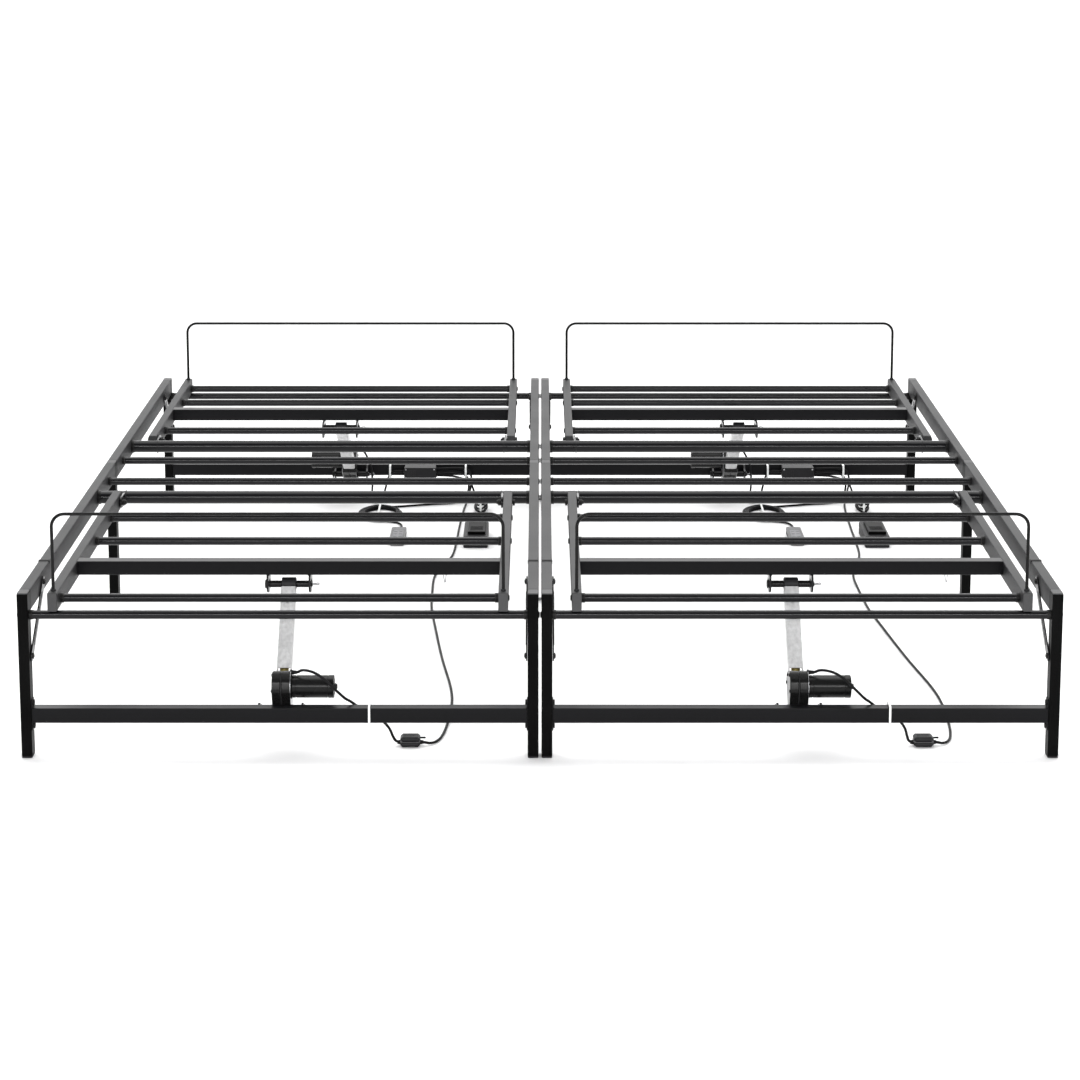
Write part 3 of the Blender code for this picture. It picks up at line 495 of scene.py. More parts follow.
def coil_point(angle, out, height):
    x, y = COIL_HALF[0] * cos(angle), COIL_HALF[1] * sin(angle)
    normal = Vector((cos(angle) / COIL_HALF[0], sin(angle) / COIL_HALF[1])).normalized()
    lift = 0.0013 * math.exp(-((x + 0.004) / 0.014) ** 2)
    loose = 0.0014 * sin(2 * angle + 0.7)
    return (COIL_MIDDLE[0] + x + normal.x * (out + loose), COIL_MIDDLE[1] + y + normal.y * (out + loose),
            height + lift)


def wind_coil(first=radians(112), last=radians(244), steps=40):
    """The coil's own points: every turn holds its lane and slips to the next one over its last eighth."""
    points, turns = [], len(LANES) - 1 + (last - first) / (2 * pi)
    for k in range(int(turns * steps) + 1):
        t = k / steps
        lane, share = min(int(t), len(LANES) - 1), t - int(t)
        (out, layer), (next_out, next_layer) = LANES[lane], LANES[min(lane + 1, len(LANES) - 1)]
        slip = max(0.0, (share - 0.82) / 0.18)
        slip = slip * slip * (3 - 2 * slip)
        points.append(coil_point(first + 2 * pi * t, LANE * (out + (next_out - out) * slip),
                                 0.0030 + LANE * (layer + (next_layer - layer) * slip)))
    return points


coil = wind_coil()
lead_in = [coil_point(radians(88), 1.75 * LANE, 0.0030)]
lead_out = [coil_point(radians(258), 1.6 * LANE, 0.0062), coil_point(radians(272), 2.0 * LANE, 0.0032)]
cord("handset_lead", smooth(BOX_TO_COIL + lead_in + coil + lead_out + COIL_TO_HANDSET, 0.0035),
     ["handset_cord", "cable_coil", "coil_cord"])
cord("adaptor_lead", smooth(POWER), ["power_lead"])


# %% [markdown]
# ## Side rails and legs
# The side rails are 20 by 40 mm tube. The foot and head halves meet at the middle legs.
# Legs are 20 by 30 mm tube closed by a plastic plug at the top and a plastic foot at
# the bottom. A bar with rounded long edges shows how thin tube really bends: the edge
# catches a fine line of light that a sharp box never has.

# %% Rails, legs and plugs
RAIL_Z = (DECK - 0.040, DECK)
LEGS = {"foot": (0.0, 0.030), "middle": (1.0545, 1.0845), "head": (1.980, 2.010)}
PLUG = 0.0026


def rails(name, y, stands_for):
    bm = bmesh.new()
    for s in (-1, 1):
        bar(bm, "Y", facing(s, INNER, OUTER), RAIL_Z, y, corner=0.0020)
    piece(name, bm, "rail_coat", stands_for=stands_for)


def legs(name, y, stands_for=()):
    tubes, plugs, feet = bmesh.new(), bmesh.new(), bmesh.new()
    for s in (-1, 1):
        x = facing(s, INNER, OUTER)
        bar(tubes, "Z", x, y, (0.0034, DECK - PLUG), corner=0.0020)
        bar(plugs, "Z", (x[0] + 0.0003, x[1] - 0.0003), (y[0] + 0.0003, y[1] - 0.0003),
            (DECK - PLUG + 0.0003, DECK), corner=0.0022, rim=0.0008)
        bar(plugs, "Z", (x[0] + 0.0016, x[1] - 0.0016), (y[0] + 0.0016, y[1] - 0.0016),
            (DECK - 0.014, DECK - PLUG + 0.0006), corner=0.0012)
        bar(feet, "Z", (x[0] + 0.0002, x[1] - 0.0002), (y[0] + 0.0002, y[1] - 0.0002), (0.0, 0.0031),
            corner=0.0022, rim=0.0007)
    # The leg tubes take the darkened coat, which paints the shade on their fronts.
    piece(name, tubes, "shade_darkened_coat", stands_for=stands_for)
    piece(name + "_plugs", plugs, "plug_plastic")
    piece(name + "_feet", feet, "matt_plastic")


rails("foot_side_rails", (0.0303, 1.0542), ["foot_base_frame"])
rails("head_side_rails", (1.0848, 1.9797), ["head_base_frame"])
legs("foot_legs", LEGS["foot"], ["foot_leg_frame"])
legs("middle_legs", LEGS["middle"])
legs("head_legs", LEGS["head"], ["head_leg_frame"])
saddles = bmesh.new()
for side in (-1, 1):
    bar(saddles, "Z", facing(side, INNER - 0.0006, OUTER + 0.0004), (0.2265, 0.2355),
        (DECK - 0.0060, DECK + 0.0011),
        corner=0.0010, rim=0.0005)
piece("rail_saddles", saddles, "shade_darkened_coat")
print("rails and", 3 * 2 * 2, "legs")

# %% [markdown]
# ## Cross tubes, lower beams and their bolts
# Round tubes cross from rail to rail. Each is held by a button-head bolt through the
# rail, which is why a low dome with a hexagon recess shows on the outer face. The
# lower beams are square tube with a welded end flange, bolted to the leg above and below.

# %% Cross tubes and beams of the fixed frame
BOLT_DOME = 0.0024


def button_bolt(bm, face, at, side, radius=0.0062, rise=BOLT_DOME):
    """A button-head bolt that stands on a face across X, with its hexagon recess."""
    steps = [(-0.0004, radius), (0.0003, radius), (0.35 * rise, radius * 0.97),
             (0.75 * rise, radius * 0.80),
             (rise, radius * 0.56), (rise, radius * 0.46)]
    profile = [(face + side * w, r, 0.0) for w, r in steps]
    profile += [(face + side * w, radius * 0.36, 1.0) for w in (rise * 0.97, rise * 0.25)]
    profile.append((face + side * rise * 0.2, radius * 0.1, 0.0))
    turned(bm, "X", at, profile, 24)


def hex_nut(bm, axis, at, w, radius=0.0055, sides=24):
    """A nut with chamfered corners and a washer face."""
    low, high = w
    sense = 1 if high > low else -1
    deep = abs(high - low)
    turned(bm, axis, at, [(low, radius * 1.02, 0.2), (low + sense * 0.1 * deep, radius, 1.0),
                          (low + sense * 0.82 * deep, radius, 1.0), (high, radius * 0.98, 0.1),
                          (high, radius * 0.55, 0.0), (low + sense * 0.9 * deep, radius * 0.5, 0.0)],
           sides)


def cross_tubes(name, tubes, face, outer, body="frame"):
    """Round tubes between two inner faces, and the bolts on the outer faces."""
    pipes, bolts = bmesh.new(), bmesh.new()
    for y, z, radius in tubes:
        rod(pipes, "X", (y, z), radius, (-face, face), sides=40)
        for s in (-1, 1):
            button_bolt(bolts, s * outer, (y, z), s)
            rod(bolts, "X", (y, z), radius + 0.0009, facing(s, face - 0.0065, face - 0.0002), 0.0005, 40)
    piece(name, pipes, "tube_coat", body)
    piece(name + "_bolts", bolts, "bolt_black", body)


cross_tubes("fixed_cross_tubes", [(0.015, 0.269, TUBE_R), (0.819, TUBE_Z, HINGE_TUBE_R),
                                  (0.963, TUBE_Z, TUBE_R),
                                  (1.164, TUBE_Z, TUBE_R), (1.308, TUBE_Z, HINGE_TUBE_R),
                                  (1.995, 0.269, TUBE_R)],
            INNER, OUTER)


def along(end, distance):
    """A distance from the foot end, or the same distance from the head end."""
    return distance if end == "foot" else LENGTH - distance


def lower_beam(end):
    beam, flanges, bolts = bmesh.new(), bmesh.new(), bmesh.new()
    y = sorted((along(end, 0.003), along(end, 0.028)))
    bar(beam, "X", y, (0.066, 0.094), (-INNER + 0.0016, INNER - 0.0016), corner=0.0017)
    for s in (-1, 1):
        bar(flanges, "X", (y[0] + 0.001, y[1] - 0.001), (0.050, 0.110),
            facing(s, INNER - 0.0018, INNER - 0.0001),
            corner=0.005)
        for z in (0.058, 0.102):
            hex_nut(bolts, "X", (sum(y) / 2, z), (s * (INNER - 0.0018), s * (INNER - 0.0046)), 0.0050)
    piece(end + "_lower_beam", beam, "beam_coat")
    piece(end + "_beam_flanges", flanges, "beam_coat")
    piece(end + "_flange_bolts", bolts, "bolt_black")


for end in ("foot", "head"):
    lower_beam(end)
print("cross tubes and lower beams")

# %% [markdown]
# ## Struts
# A flat bar runs from each end leg up to the side rail and stops the leg from folding.
# Its ends are rounded about the bolt holes, so the outline is two half circles joined
# by straight sides, with a shallow pressed rib down the middle for stiffness.

# %% Struts and their bolts
STRUT_X = (INNER - 0.0030, INNER - 0.0004)


def stadium(start, end, half, steps=10):
    """The outline of a bar with round ends, in Y and Z."""
    direction = math.atan2(end[1] - start[1], end[0] - start[0])
    return [(centre[0] + half * cos(turn + pi * k / steps), centre[1] + half * sin(turn + pi * k / steps))
            for centre, turn in ((end, direction - pi / 2), (start, direction + pi / 2))
            for k in range(steps + 1)]


def struts(end):
    bars, bolts = bmesh.new(), bmesh.new()
    low, high = (along(end, 0.018), 0.190), (along(end, 0.155), 0.293)
    for s in (-1, 1):
        plate(bars, stadium(low, high, 0.0098), facing(s, *STRUT_X))
        rib_low = (low[0] + (high[0] - low[0]) * 0.16, low[1] + (high[1] - low[1]) * 0.16)
        rib_high = (low[0] + (high[0] - low[0]) * 0.84, low[1] + (high[1] - low[1]) * 0.84)
        plate(bars, stadium(rib_low, rib_high, 0.0035, 6),
              facing(s, STRUT_X[0] - 0.0008, STRUT_X[0] + 0.001), 0.0007)
        for at in (low, high):
            hex_nut(bolts, "X", at, (s * STRUT_X[0], s * (STRUT_X[0] - 0.0026)), 0.0050)
            rod(bolts, "X", at, 0.003, facing(s, STRUT_X[0] - 0.0034, STRUT_X[0] - 0.002), 0.0005, 16)
    piece(end + "_struts", bars, "tube_coat")
    piece(end + "_strut_bolts", bolts, "bolt_black")


for end in ("foot", "head"):
    struts(end)
print("struts")

# %% [markdown]
# ## Hinges
# The lifting sections turn on a bolt through an ear that is welded to the big hinge
# tube. Ear, bolt and nut stay with the fixed frame, and the section's rail turns
# between them. The weld is a lumpy ring round the tube: a real bead is a row of small
# overlapping puddles, so its radius goes up and down as it goes round.

# %% Hinge ears, bolts and welds
HINGE_TUBE_Y = {"foot": 0.819, "head": 1.308}
EAR_X = (0.3965, 0.4010)


def weld_ring(bm, at, x, side, radius, size=0.0022, beads=18):
    """A fillet weld round a tube, where it meets a plate at x; side says which way it faces."""
    count = beads * 4
    rings = []
    for k in range(count):
        a = 2 * pi * k / count
        lump = size * (1.0 + 0.16 * cos(beads * a))
        ring = []
        for out, w in ((-0.0002, -0.0002), (lump, -0.0002), (0.55 * lump, 0.45 * lump), (-0.0002, lump)):
            r = radius + out
            ring.append((x + side * w, at[0] + r * cos(a), at[1] + r * sin(a)))
        rings.append(ring)
    skin(bm, rings, closed=True)


def hinge(end):
    ears, bolts, welds = bmesh.new(), bmesh.new(), bmesh.new()
    at, tube_at = (HINGE_Y[end], HINGE_Z), (HINGE_TUBE_Y[end], TUBE_Z)
    for s in (-1, 1):
        plate(ears, stadium(tube_at, at, 0.0118), facing(s, *EAR_X))
        weld_ring(welds, tube_at, s * EAR_X[0], -s, HINGE_TUBE_R)
        weld_ring(welds, tube_at, s * EAR_X[1], s, HINGE_TUBE_R, 0.0009)
        rod(bolts, "X", at, 0.0039, facing(s, EAR_X[0] - 0.0095, SECTION_OUT + 0.003), sides=20)
        hex_nut(bolts, "X", at, (s * EAR_X[0], s * (EAR_X[0] - 0.0064)), 0.0062)
        rod(bolts, "X", at, 0.0078, facing(s, SECTION_OUT + 0.0008, SECTION_OUT + 0.0019), 0.0003, 28)
        hex_nut(bolts, "X", at, (s * (SECTION_OUT + 0.0019), s * (SECTION_OUT + 0.0056)), 0.0062)
    piece(end + "_hinge_ears", ears, "tube_coat")
    piece(end + "_hinge_bolts", bolts, "bolt_black")
    piece(end + "_hinge_welds", welds, "tube_coat")


for end in ("foot", "head"):
    hinge(end)
print("hinges at", HINGE_Y)

# %% [markdown]
# ## Lifting sections
# A section is two side rails, three round tubes and one deep beam that carries the
# drive. Its open tube ends have plastic plugs with a proud rim. Under the beam hang
# two plates with a slot, in which the drive's upper pin lies. A plate with a hole is
# filled between its outline and its slot in one go, then given its thickness.

# %% Section frames
SECTION = {"foot": {"y": (0.002, 0.798), "tubes": (0.043, 0.454, 0.641), "beam": (0.225, 0.253),
                    "slot": 0.0158, "slot_half": 0.0077},
           "head": {"y": (1.329, 2.000), "tubes": (1.476, 1.796, 1.969), "beam": (1.621, 1.649),
                    "slot": -0.0392, "slot_half": 0.0114}}
SECTION_Z = (DECK - 0.035, DECK)
BEAM_UNDER = DECK - 0.027


def filleted(outline, radius, steps=4):
    """The same outline with its corners turned into arcs."""
    points = []
    for i, here in enumerate(outline):
        p, before, after = Vector(here), Vector(outline[i - 1]), Vector(outline[(i + 1) % len(outline)])
        a, b = (before - p), (after - p)
        cut = min(radius, a.length * 0.45, b.length * 0.45)
        start, stop = p + a.normalized() * cut, p + b.normalized() * cut
        for k in range(steps + 1):
            t = k / steps
            points.append(tuple(start * (1 - t) ** 2 + p * 2 * t * (1 - t) + stop * t ** 2))
    return points


def pierced_plate(bm, outline, holes, x):
    """A flat plate with holes, cut from one sheet."""
    edges = []
    for loop in [outline, *holes]:
        verts = [bm.verts.new((x[0], y, z)) for y, z in loop]
        edges += [bm.edges.new((verts[i - 1], verts[i])) for i in range(len(verts))]
    filled = bmesh.ops.triangle_fill(bm, edges=edges, use_beauty=True)["geom"]
    faces = [f for f in filled if isinstance(f, bmesh.types.BMFace)]
    grown = bmesh.ops.extrude_face_region(bm, geom=faces)["geom"]
    moved = [v for v in grown if isinstance(v, bmesh.types.BMVert)]
    bmesh.ops.translate(bm, vec=(x[1] - x[0], 0, 0), verts=moved)
    bm.normal_update()
    bmesh.ops.recalc_face_normals(bm, faces=bm.faces)


def drive_bracket(bm, end):
    """The two slotted plates under a section's beam."""
    spec, (y0, z0) = SECTION[end], UPPER_PIN[end]
    toward = 1 if spec["slot"] > 0 else -1
    tip, heel, under = y0 + spec["slot"] + toward * 0.016, y0 - toward * 0.013, z0 - 0.0165
    top = BEAM_UNDER + 0.0006
    outline = [(heel, top), (heel, z0 - 0.008), (heel + toward * 0.008, under),
               (tip - toward * 0.009, under),
               (tip, z0 - 0.006), (tip, top - 0.008), (tip - toward * 0.010, top)]
    slot = stadium((y0, z0), (y0 + spec["slot"], z0), spec["slot_half"], 8)
    for s in (-1, 1):
        pierced_plate(bm, filleted(outline, 0.006), [slot], facing(s, *PLATE_X))


def section(end):
    spec, body = SECTION[end], end + "_section"
    side_rails, plugs, beam, brackets, welds = (bmesh.new() for _ in range(5))
    for s in (-1, 1):
        x = facing(s, SECTION_IN, SECTION_OUT)
        bar(side_rails, "Y", x, SECTION_Z, (spec["y"][0] + 0.0020, spec["y"][1] - 0.0020), corner=0.0022)
        for face, into in ((spec["y"][0], 1), (spec["y"][1], -1)):
            bar(plugs, "Y", (x[0] + 0.0002, x[1] - 0.0002),
                (SECTION_Z[0] + 0.0002, SECTION_Z[1] - 0.0002),
                sorted((face, face + into * 0.0021)), corner=0.0024, rim=0.0007)
        weld_x = s * PLATE_X[0] if s > 0 else -PLATE_X[0]
        for k in range(9):
            middle = spec["beam"][0] + 0.003 + k * (spec["beam"][1] - spec["beam"][0] - 0.006) / 8
            rod(welds, "Y", (weld_x - s * 0.0004, BEAM_UNDER - 0.0003), 0.0016,
                (middle - 0.0022, middle + 0.0022), 0.0008, 10)
    bar(beam, "X", spec["beam"], (BEAM_UNDER, DECK - 0.0002), (-SECTION_IN, SECTION_IN), corner=0.0017)
    drive_bracket(brackets, end)
    piece(body + "_rails", side_rails, "rail_coat", body, [body + "_frame"])
    piece(body + "_plugs", plugs, "plug_plastic", body)
    piece(body + "_beam", beam, "beam_coat", body)
    piece(body + "_brackets", brackets, "tube_coat", body)
    piece(body + "_bracket_welds", welds, "tube_coat", body)
    cross_tubes(body + "_tubes", [(y, TUBE_Z, TUBE_R) for y in spec["tubes"]], SECTION_IN, SECTION_OUT,
                body)


for end in ("foot", "head"):
    section(end)
print("two lifting sections")

# %% [markdown]
# ## Mattress retainers
# A 5 mm wire hoop stands on the rails of each section and keeps the mattress from
# sliding off. It is one tube along a path with two round bends. Each foot ends in a
# small socket with a collar, because a bare wire could not stand on a rail.

# %% Retainer hoops and sockets
HOOP_X, HOOP_R, HOOP_TOP, HOOP_BEND = 0.411, 0.0031, 0.4600, 0.024


def retainer(end):
    y = along(end, 0.020)
    top = HOOP_TOP - HOOP_R
    path = [Vector((-HOOP_X, y, DECK + 0.0004)), Vector((-HOOP_X, y, DECK + 0.05))]
    for s, start in ((-1, pi), (1, pi / 2)):
        middle = (s * (HOOP_X - HOOP_BEND), top - HOOP_BEND)
        path += [Vector((middle[0] + HOOP_BEND * cos(start - pi / 2 * k / 10), y,
                         middle[1] + HOOP_BEND * sin(start - pi / 2 * k / 10))) for k in range(11)]
    path += [Vector((HOOP_X, y, DECK + 0.05)), Vector((HOOP_X, y, DECK + 0.0004))]
    hoop, sockets = bmesh.new(), bmesh.new()
    tube(hoop, path, HOOP_R, 14)
    for s in (-1, 1):
        turned(sockets, "Z", (s * HOOP_X, y),
               [(DECK, 0.0050, 0), (DECK + 0.0010, 0.0051, 0), (DECK + 0.0030, 0.0045, 0),
                                              (DECK + 0.0036, 0.0038, 0), (DECK + 0.0037, 0.0030, 0)], 24)
    body = end + "_section"
    piece(end + "_retainer_hoop", hoop, "gloss_wire", body, [end + "_retainer_bar"],
          weighted=False)
    piece(end + "_retainer_sockets", sockets, "matt_plastic", body)


for end in ("foot", "head"):
    retainer(end)
print("retainer hoops reach", HOOP_TOP)

# %% [markdown]
# ## The screw drives
# Each drive tips on a pin behind a lower beam. Its gear housing and motor stay
# together; a screw turns in them and pushes a nut with a folded channel, whose eye
# holds the section's pin. Everything is drawn along the screw first, with the lower
# pin at the origin, and then turned into place, which is far easier than drawing at
# a slant.

# %% Where each drive lies
# Degrees up from the direction of the head end, with the bed flat.
FOOT_SCREW_TILT, HEAD_SCREW_TILT = 46.6983, 149.1681
DRIVE = {"foot": {"length": 0.26246, "matrix": Matrix.Translation((0, *LOWER_PIN["foot"]))
                  @ Matrix.Rotation(radians(FOOT_SCREW_TILT), 4, "X"), "gland": 1},
         "head": {"length": 0.37267, "matrix": Matrix.Translation((0, *LOWER_PIN["head"]))
                  @ Matrix.Rotation(pi, 4, "Z")
                  @ Matrix.Rotation(radians(180.0 - HEAD_SCREW_TILT), 4, "X"), "gland": -1}}
MOTOR_AT, MOTOR_R, MOTOR_X = (0.0337, 0.0285), 0.02125, (0.0173, 0.0973)
GEAR_HALF, GEAR_END, GLAND_AT = 0.017, 0.074, (0.0524, 0.0494)


def drive_piece(end, name, bm, finish_name, body, stands_for=(), weighted=True):
    """Turns a piece drawn along the screw into its place, then puts it on both bases."""
    bm.transform(DRIVE[end]["matrix"])
    piece(f"{end}_{name}", bm, finish_name, f"{end}_{body}", stands_for, weighted)


print("screw lengths", {end: spec["length"] for end, spec in DRIVE.items()})

# %% [markdown]
# ## Gear housing and motor
# The housing is two moulded half shells with a visible joint line, screws at the
# corners, a collar round the motor and a gland with a tapered boot for the cable. The
# motor is a drawn steel can with a rolled groove near each end and a small knob over
# its rear bearing. The shells are plates with filleted outlines, the round parts are
# turned, so every edge has the small radius a mould gives it.

# %% Gear housing, motor, gland
HOUSING = [(-0.0115, -0.0135), (-0.004, -0.0165), (0.070, -0.0165), (GEAR_END, -0.011), (GEAR_END, 0.012),
           (0.062, 0.036), (0.051, 0.0555), (0.030, 0.0595), (0.012, 0.050), (0.006, 0.036),
           (0.000, 0.024),
           (-0.0115, 0.0125)]
# How far the bright steel plate stands proud of the housing. That plate is a painted highlight: the light
# line between housing and motor.
RIM_HIGHLIGHT_PROUD = 0.0007
HOUSING_SCREWS = ((0.061, -0.0095), (0.064, 0.0165), (0.046, 0.0505), (0.0155, 0.0455))


def gear_housing(end):
    side = DRIVE[end]["gland"]
    shells, core, screws, boot = (bmesh.new() for _ in range(4))
    for s in (-1, 1):
        plate(shells, filleted(HOUSING, 0.005), facing(s, 0.0005, GEAR_HALF), 0.0016)
        rod(shells, "X", (0.0, 0.0), 0.0098, facing(s, GEAR_HALF - 0.001, GEAR_HALF + 0.0016), 0.0006, 32)
    plate(core, [(y * 0.965 + 0.001, z * 0.965 + 0.0006) for y, z in filleted(HOUSING, 0.005)],
          (-0.0008, 0.0008), 0.0002)
    for k in range(4):
        low = 0.006 + k * 0.011
        bar(shells, "X", (low, low + 0.003), (-0.0178, -0.0150), (-0.0150, 0.0150), corner=0.0009,
            rim=0.0006)
    for k in range(3):
        high = 0.0415 - k * 0.0085
        bar(shells, "X", (0.0655 - k * 0.0020, 0.0690 - k * 0.0020), (high - 0.0330, high - 0.0305),
            (-0.0140, 0.0140),
            corner=0.0008, rim=0.0006)
    for at in HOUSING_SCREWS:
        button_bolt(screws, -GEAR_HALF, at, -1, 0.0034, 0.0016)
    turned(shells, "X", MOTOR_AT, [(GEAR_HALF - 0.001, 0.0235, 0), (GEAR_HALF + 0.0008, 0.0235, 0),
                                   (GEAR_HALF + 0.0022, 0.0226, 0), (GEAR_HALF + 0.0023, 0.0150, 0)], 48)
    turned(boot, "X", GLAND_AT, [(side * (GEAR_HALF - 0.001), 0.0052, 0),
                                 (side * (GEAR_HALF + 0.0016), 0.0052, 0.4),
                                 (side * (GEAR_HALF + 0.0022), 0.0043, 0),
                                 (side * (GEAR_HALF + 0.0042), 0.0041, 0),
                                 (side * (GEAR_HALF + 0.0047), 0.0036, 0),
                                 (side * (GEAR_HALF + 0.0057), 0.0040, 0),
                                 (side * (GEAR_HALF + 0.0062), 0.0034, 0),
                                 (side * (GEAR_HALF + 0.0073), 0.0037, 0),
                                 (side * (GEAR_HALF + 0.0116), 0.0030, 0),
                                 (side * (GEAR_HALF + 0.0118), 0.0020, 0)], 24)
    drive_piece(end, "gear_shells", shells, "gloss_plastic", "actuator", [end + "_gear_housing"])
    # A thin bright steel plate, a little larger than the housing outline, on its motor side. It is a
    # painted highlight for the light line between housing and motor, not a real part of the drive.
    edge = bmesh.new()
    plate(edge, [(y * 1.012 - 0.0004, z * 1.012) for y, z in filleted(HOUSING, 0.005)],
          (GEAR_HALF - 0.0002, GEAR_HALF + RIM_HIGHLIGHT_PROUD), 0.0002)
    drive_piece(end, "gear_rim_highlight_plate", edge, "plain_steel", "actuator")
    drive_piece(end, "gear_housing_seal", core, "matt_plastic", "actuator")
    drive_piece(end, "gear_housing_screws", screws, "bolt_black", "actuator")
    drive_piece(end, "gland_boot", boot, "cord_jacket", "actuator")


def motor(end):
    can, knob = bmesh.new(), bmesh.new()
    x0, x1 = MOTOR_X[0] + 0.0022, MOTOR_X[1]
    r = MOTOR_R
    turned(can, "X", MOTOR_AT, [(x0, r - 0.0010, 0), (x0 + 0.0010, r - 0.0003, 0),
                                (x0 + 0.0060, r - 0.0003, 0),
                                (x0 + 0.0066, r - 0.0010, 0), (x0 + 0.0078, r - 0.0010, 0),
                                (x0 + 0.0084, r - 0.0003, 0),
                                (x1 - 0.0125, r - 0.0003, 0), (x1 - 0.0120, r - 0.0011, 0),
                                (x1 - 0.0112, r - 0.0011, 0),
                                (x1 - 0.0107, r, 0), (x1 - 0.0014, r, 0), (x1 - 0.0004, r - 0.0007, 0),
                                (x1, r - 0.0020, 0), (x1 - 0.0002, r - 0.0050, 0),
                                (x1 - 0.0010, r - 0.0058, 0),
                                (x1 - 0.0010, 0.0094, 0), (x1, 0.0088, 0), (x1, 0.0050, 0)], 56)
    turned(knob, "X", MOTOR_AT, [(x1 - 0.0008, 0.0062, 0), (x1 + 0.0024, 0.0060, 0),
                                 (x1 + 0.0030, 0.0054, 0),
                                 (x1 + 0.0049, 0.0050, 0), (x1 + 0.0055, 0.0042, 0),
                                 (x1 + 0.0055, 0.0012, 0)], 28)
    drive_piece(end, "motor_can", can, "gloss_plastic", "actuator", [end + "_motor"])
    drive_piece(end, "motor_knob", knob, "matt_plastic", "actuator")


for end in ("foot", "head"):
    gear_housing(end)
    motor(end)
print("gear housings and motors")

# %% [markdown]
# ## Screw, channel, nut and eye
# The screw's thread is one continuous helix: the radius of every point depends on how
# far along and how far round it is. The channel is 2 mm sheet folded to a U. The foot
# channel is open towards the floor and the head channel, which lies the other way
# round, is open towards the mattress. The side walls run on past the web beside the
# brass nut. A black nylon eye fills the far end and takes the pin.

# %% Drive screw and thrust channel
CHANNEL_HALF, CHANNEL_DEPTH, SHEET = 0.014, 0.011, 0.002
WEB_START, WALL_START = 0.0805, 0.0765


def drive_screw(end):
    bm, pitch, sides, per_turn = bmesh.new(), 0.003, 12, 6
    stop = DRIVE[end]["length"] - 0.0175
    count = int((stop - GEAR_END) / pitch * per_turn)
    rings = []
    for k in range(count + 1):
        w = GEAR_END + (stop - GEAR_END) * k / count
        ring = []
        for i in range(sides):
            a = 2 * pi * i / sides
            wave = abs(((w / pitch - i / sides) % 1.0) * 2 - 1)
            ring.append(AXES["Y"](*(0.0042 + 0.0008 * wave) * Vector((cos(a), sin(a))), w))
        rings.append(ring)
    skin(bm, rings)
    drive_piece(end, "screw_thread", bm, "plain_steel", "actuator", [end + "_drive_screw"],
                False)


def thrust_channel(end):
    channel, nut, eye = bmesh.new(), bmesh.new(), bmesh.new()
    length = DRIVE[end]["length"]
    h, d, t, fold = CHANNEL_HALF, CHANNEL_DEPTH, SHEET, 0.0030
    arc = [(k / 5) * pi / 2 for k in range(6)]
    outer = ([(-h, -d)] + [(-h + fold - fold * cos(a), d - fold + fold * sin(a)) for a in arc]
             + [(h - fold + fold * sin(a), d - fold + fold * cos(a)) for a in arc] + [(h, -d)])
    inner = ([(h - t, -d)] + [(h - fold + (fold - t) * cos(a), d - fold + (fold - t) * sin(a))
                              for a in arc]
             + [(-h + fold - (fold - t) * sin(a), d - fold + (fold - t) * cos(a)) for a in arc]
             + [(-h + t, -d)])
    up = 1 if end == "foot" else -1
    skin(channel, [[(x * up, w, z * up) for x, z in outer + inner] for w in (WEB_START, length - 0.011)])
    for s in (-1, 1):
        bar(channel, "Y", facing(s, h - t, h), sorted((-d * up, (d - fold) * up)),
            (WALL_START, WEB_START + 0.0004),
            corner=0.0004, rim=0.0002)
    for w in (length - 0.030, length - 0.044):
        turned(channel, "Z", (0.0, w), [(up * (d + rise), radius, 0) for rise, radius in
                                        ((-0.0004, 0.0036), (0.0004, 0.0035), (0.0010, 0.0024),
                                         (0.0011, 0.0008))], 20)
    turned(nut, "Y", (0.0, 0.0), [(0.0752, 0.0072, 0), (0.0760, 0.0080, 1.0), (0.0900, 0.0080, 1.0),
                                  (0.0905, 0.0074, 0),
                                  (0.0912, 0.0064, 0), (0.0925, 0.0064, 0), (0.0930, 0.0085, 0),
                                  (0.0964, 0.0085, 0),
                                  (0.0969, 0.0078, 0), (0.1040, 0.0078, 0)], 36)
    bar(eye, "Y", (-h + t + 0.0003, h - t - 0.0003), sorted((-0.0105 * up, (d - t - 0.0003) * up)),
        (length - 0.034, length - 0.0115), corner=0.0012)
    turned(eye, "X", (length, 0.0), [(-h + 0.0006, 0.0118, 0), (-h + 0.0014, 0.0128, 0),
                                     (h - 0.0014, 0.0128, 0),
                                    (h - 0.0006, 0.0118, 0)], 36)
    bar(eye, "Y", (-h + 0.0008, h - 0.0008), (-0.0105, 0.0105), (length - 0.0108, length), corner=0.0015)
    drive_piece(end, "folded_channel", channel, "galvanised", "rod", [end + "_thrust_channel"])
    drive_piece(end, "drive_nut", nut, "brass", "rod")
    drive_piece(end, "nylon_eye", eye, "matt_plastic", "rod")


for end in ("foot", "head"):
    drive_screw(end)
    thrust_channel(end)
print("screws and channels")

# %% [markdown]
# ## Pins, sleeves and spring clips
# A headed pin joins the eye to the slotted plates. A sleeve on each side keeps the eye
# in the middle, and a spring clip through the end stops the pin from working out. The
# clip is a length of spring wire bent to a loop, so it is a thin tube along a path.

# %% Upper and lower pins
PIN_R = 0.005


def spring_clip(bm, at, x):
    """A wire loop through a pin's end: out on one side, round, and back on the other."""
    y, z = at
    loop = [(x, y, z + 0.0058), (x, y, z + 0.0018), (x + 0.0015, y, z + 0.0004),
            (x + 0.0060, y, z + 0.0014)]
    loop += [(x + 0.0100 + 0.0036 * sin(a), y, z + 0.0002 + 0.0036 * cos(a))
             for a in (pi * k / 8 for k in range(1, 9))]
    loop += [(x + 0.0060, y, z - 0.0020), (x + 0.0010, y, z - 0.0024), (x - 0.0022, y, z - 0.0034)]
    tube(bm, smooth(loop, 0.0012), 0.0010, 8)


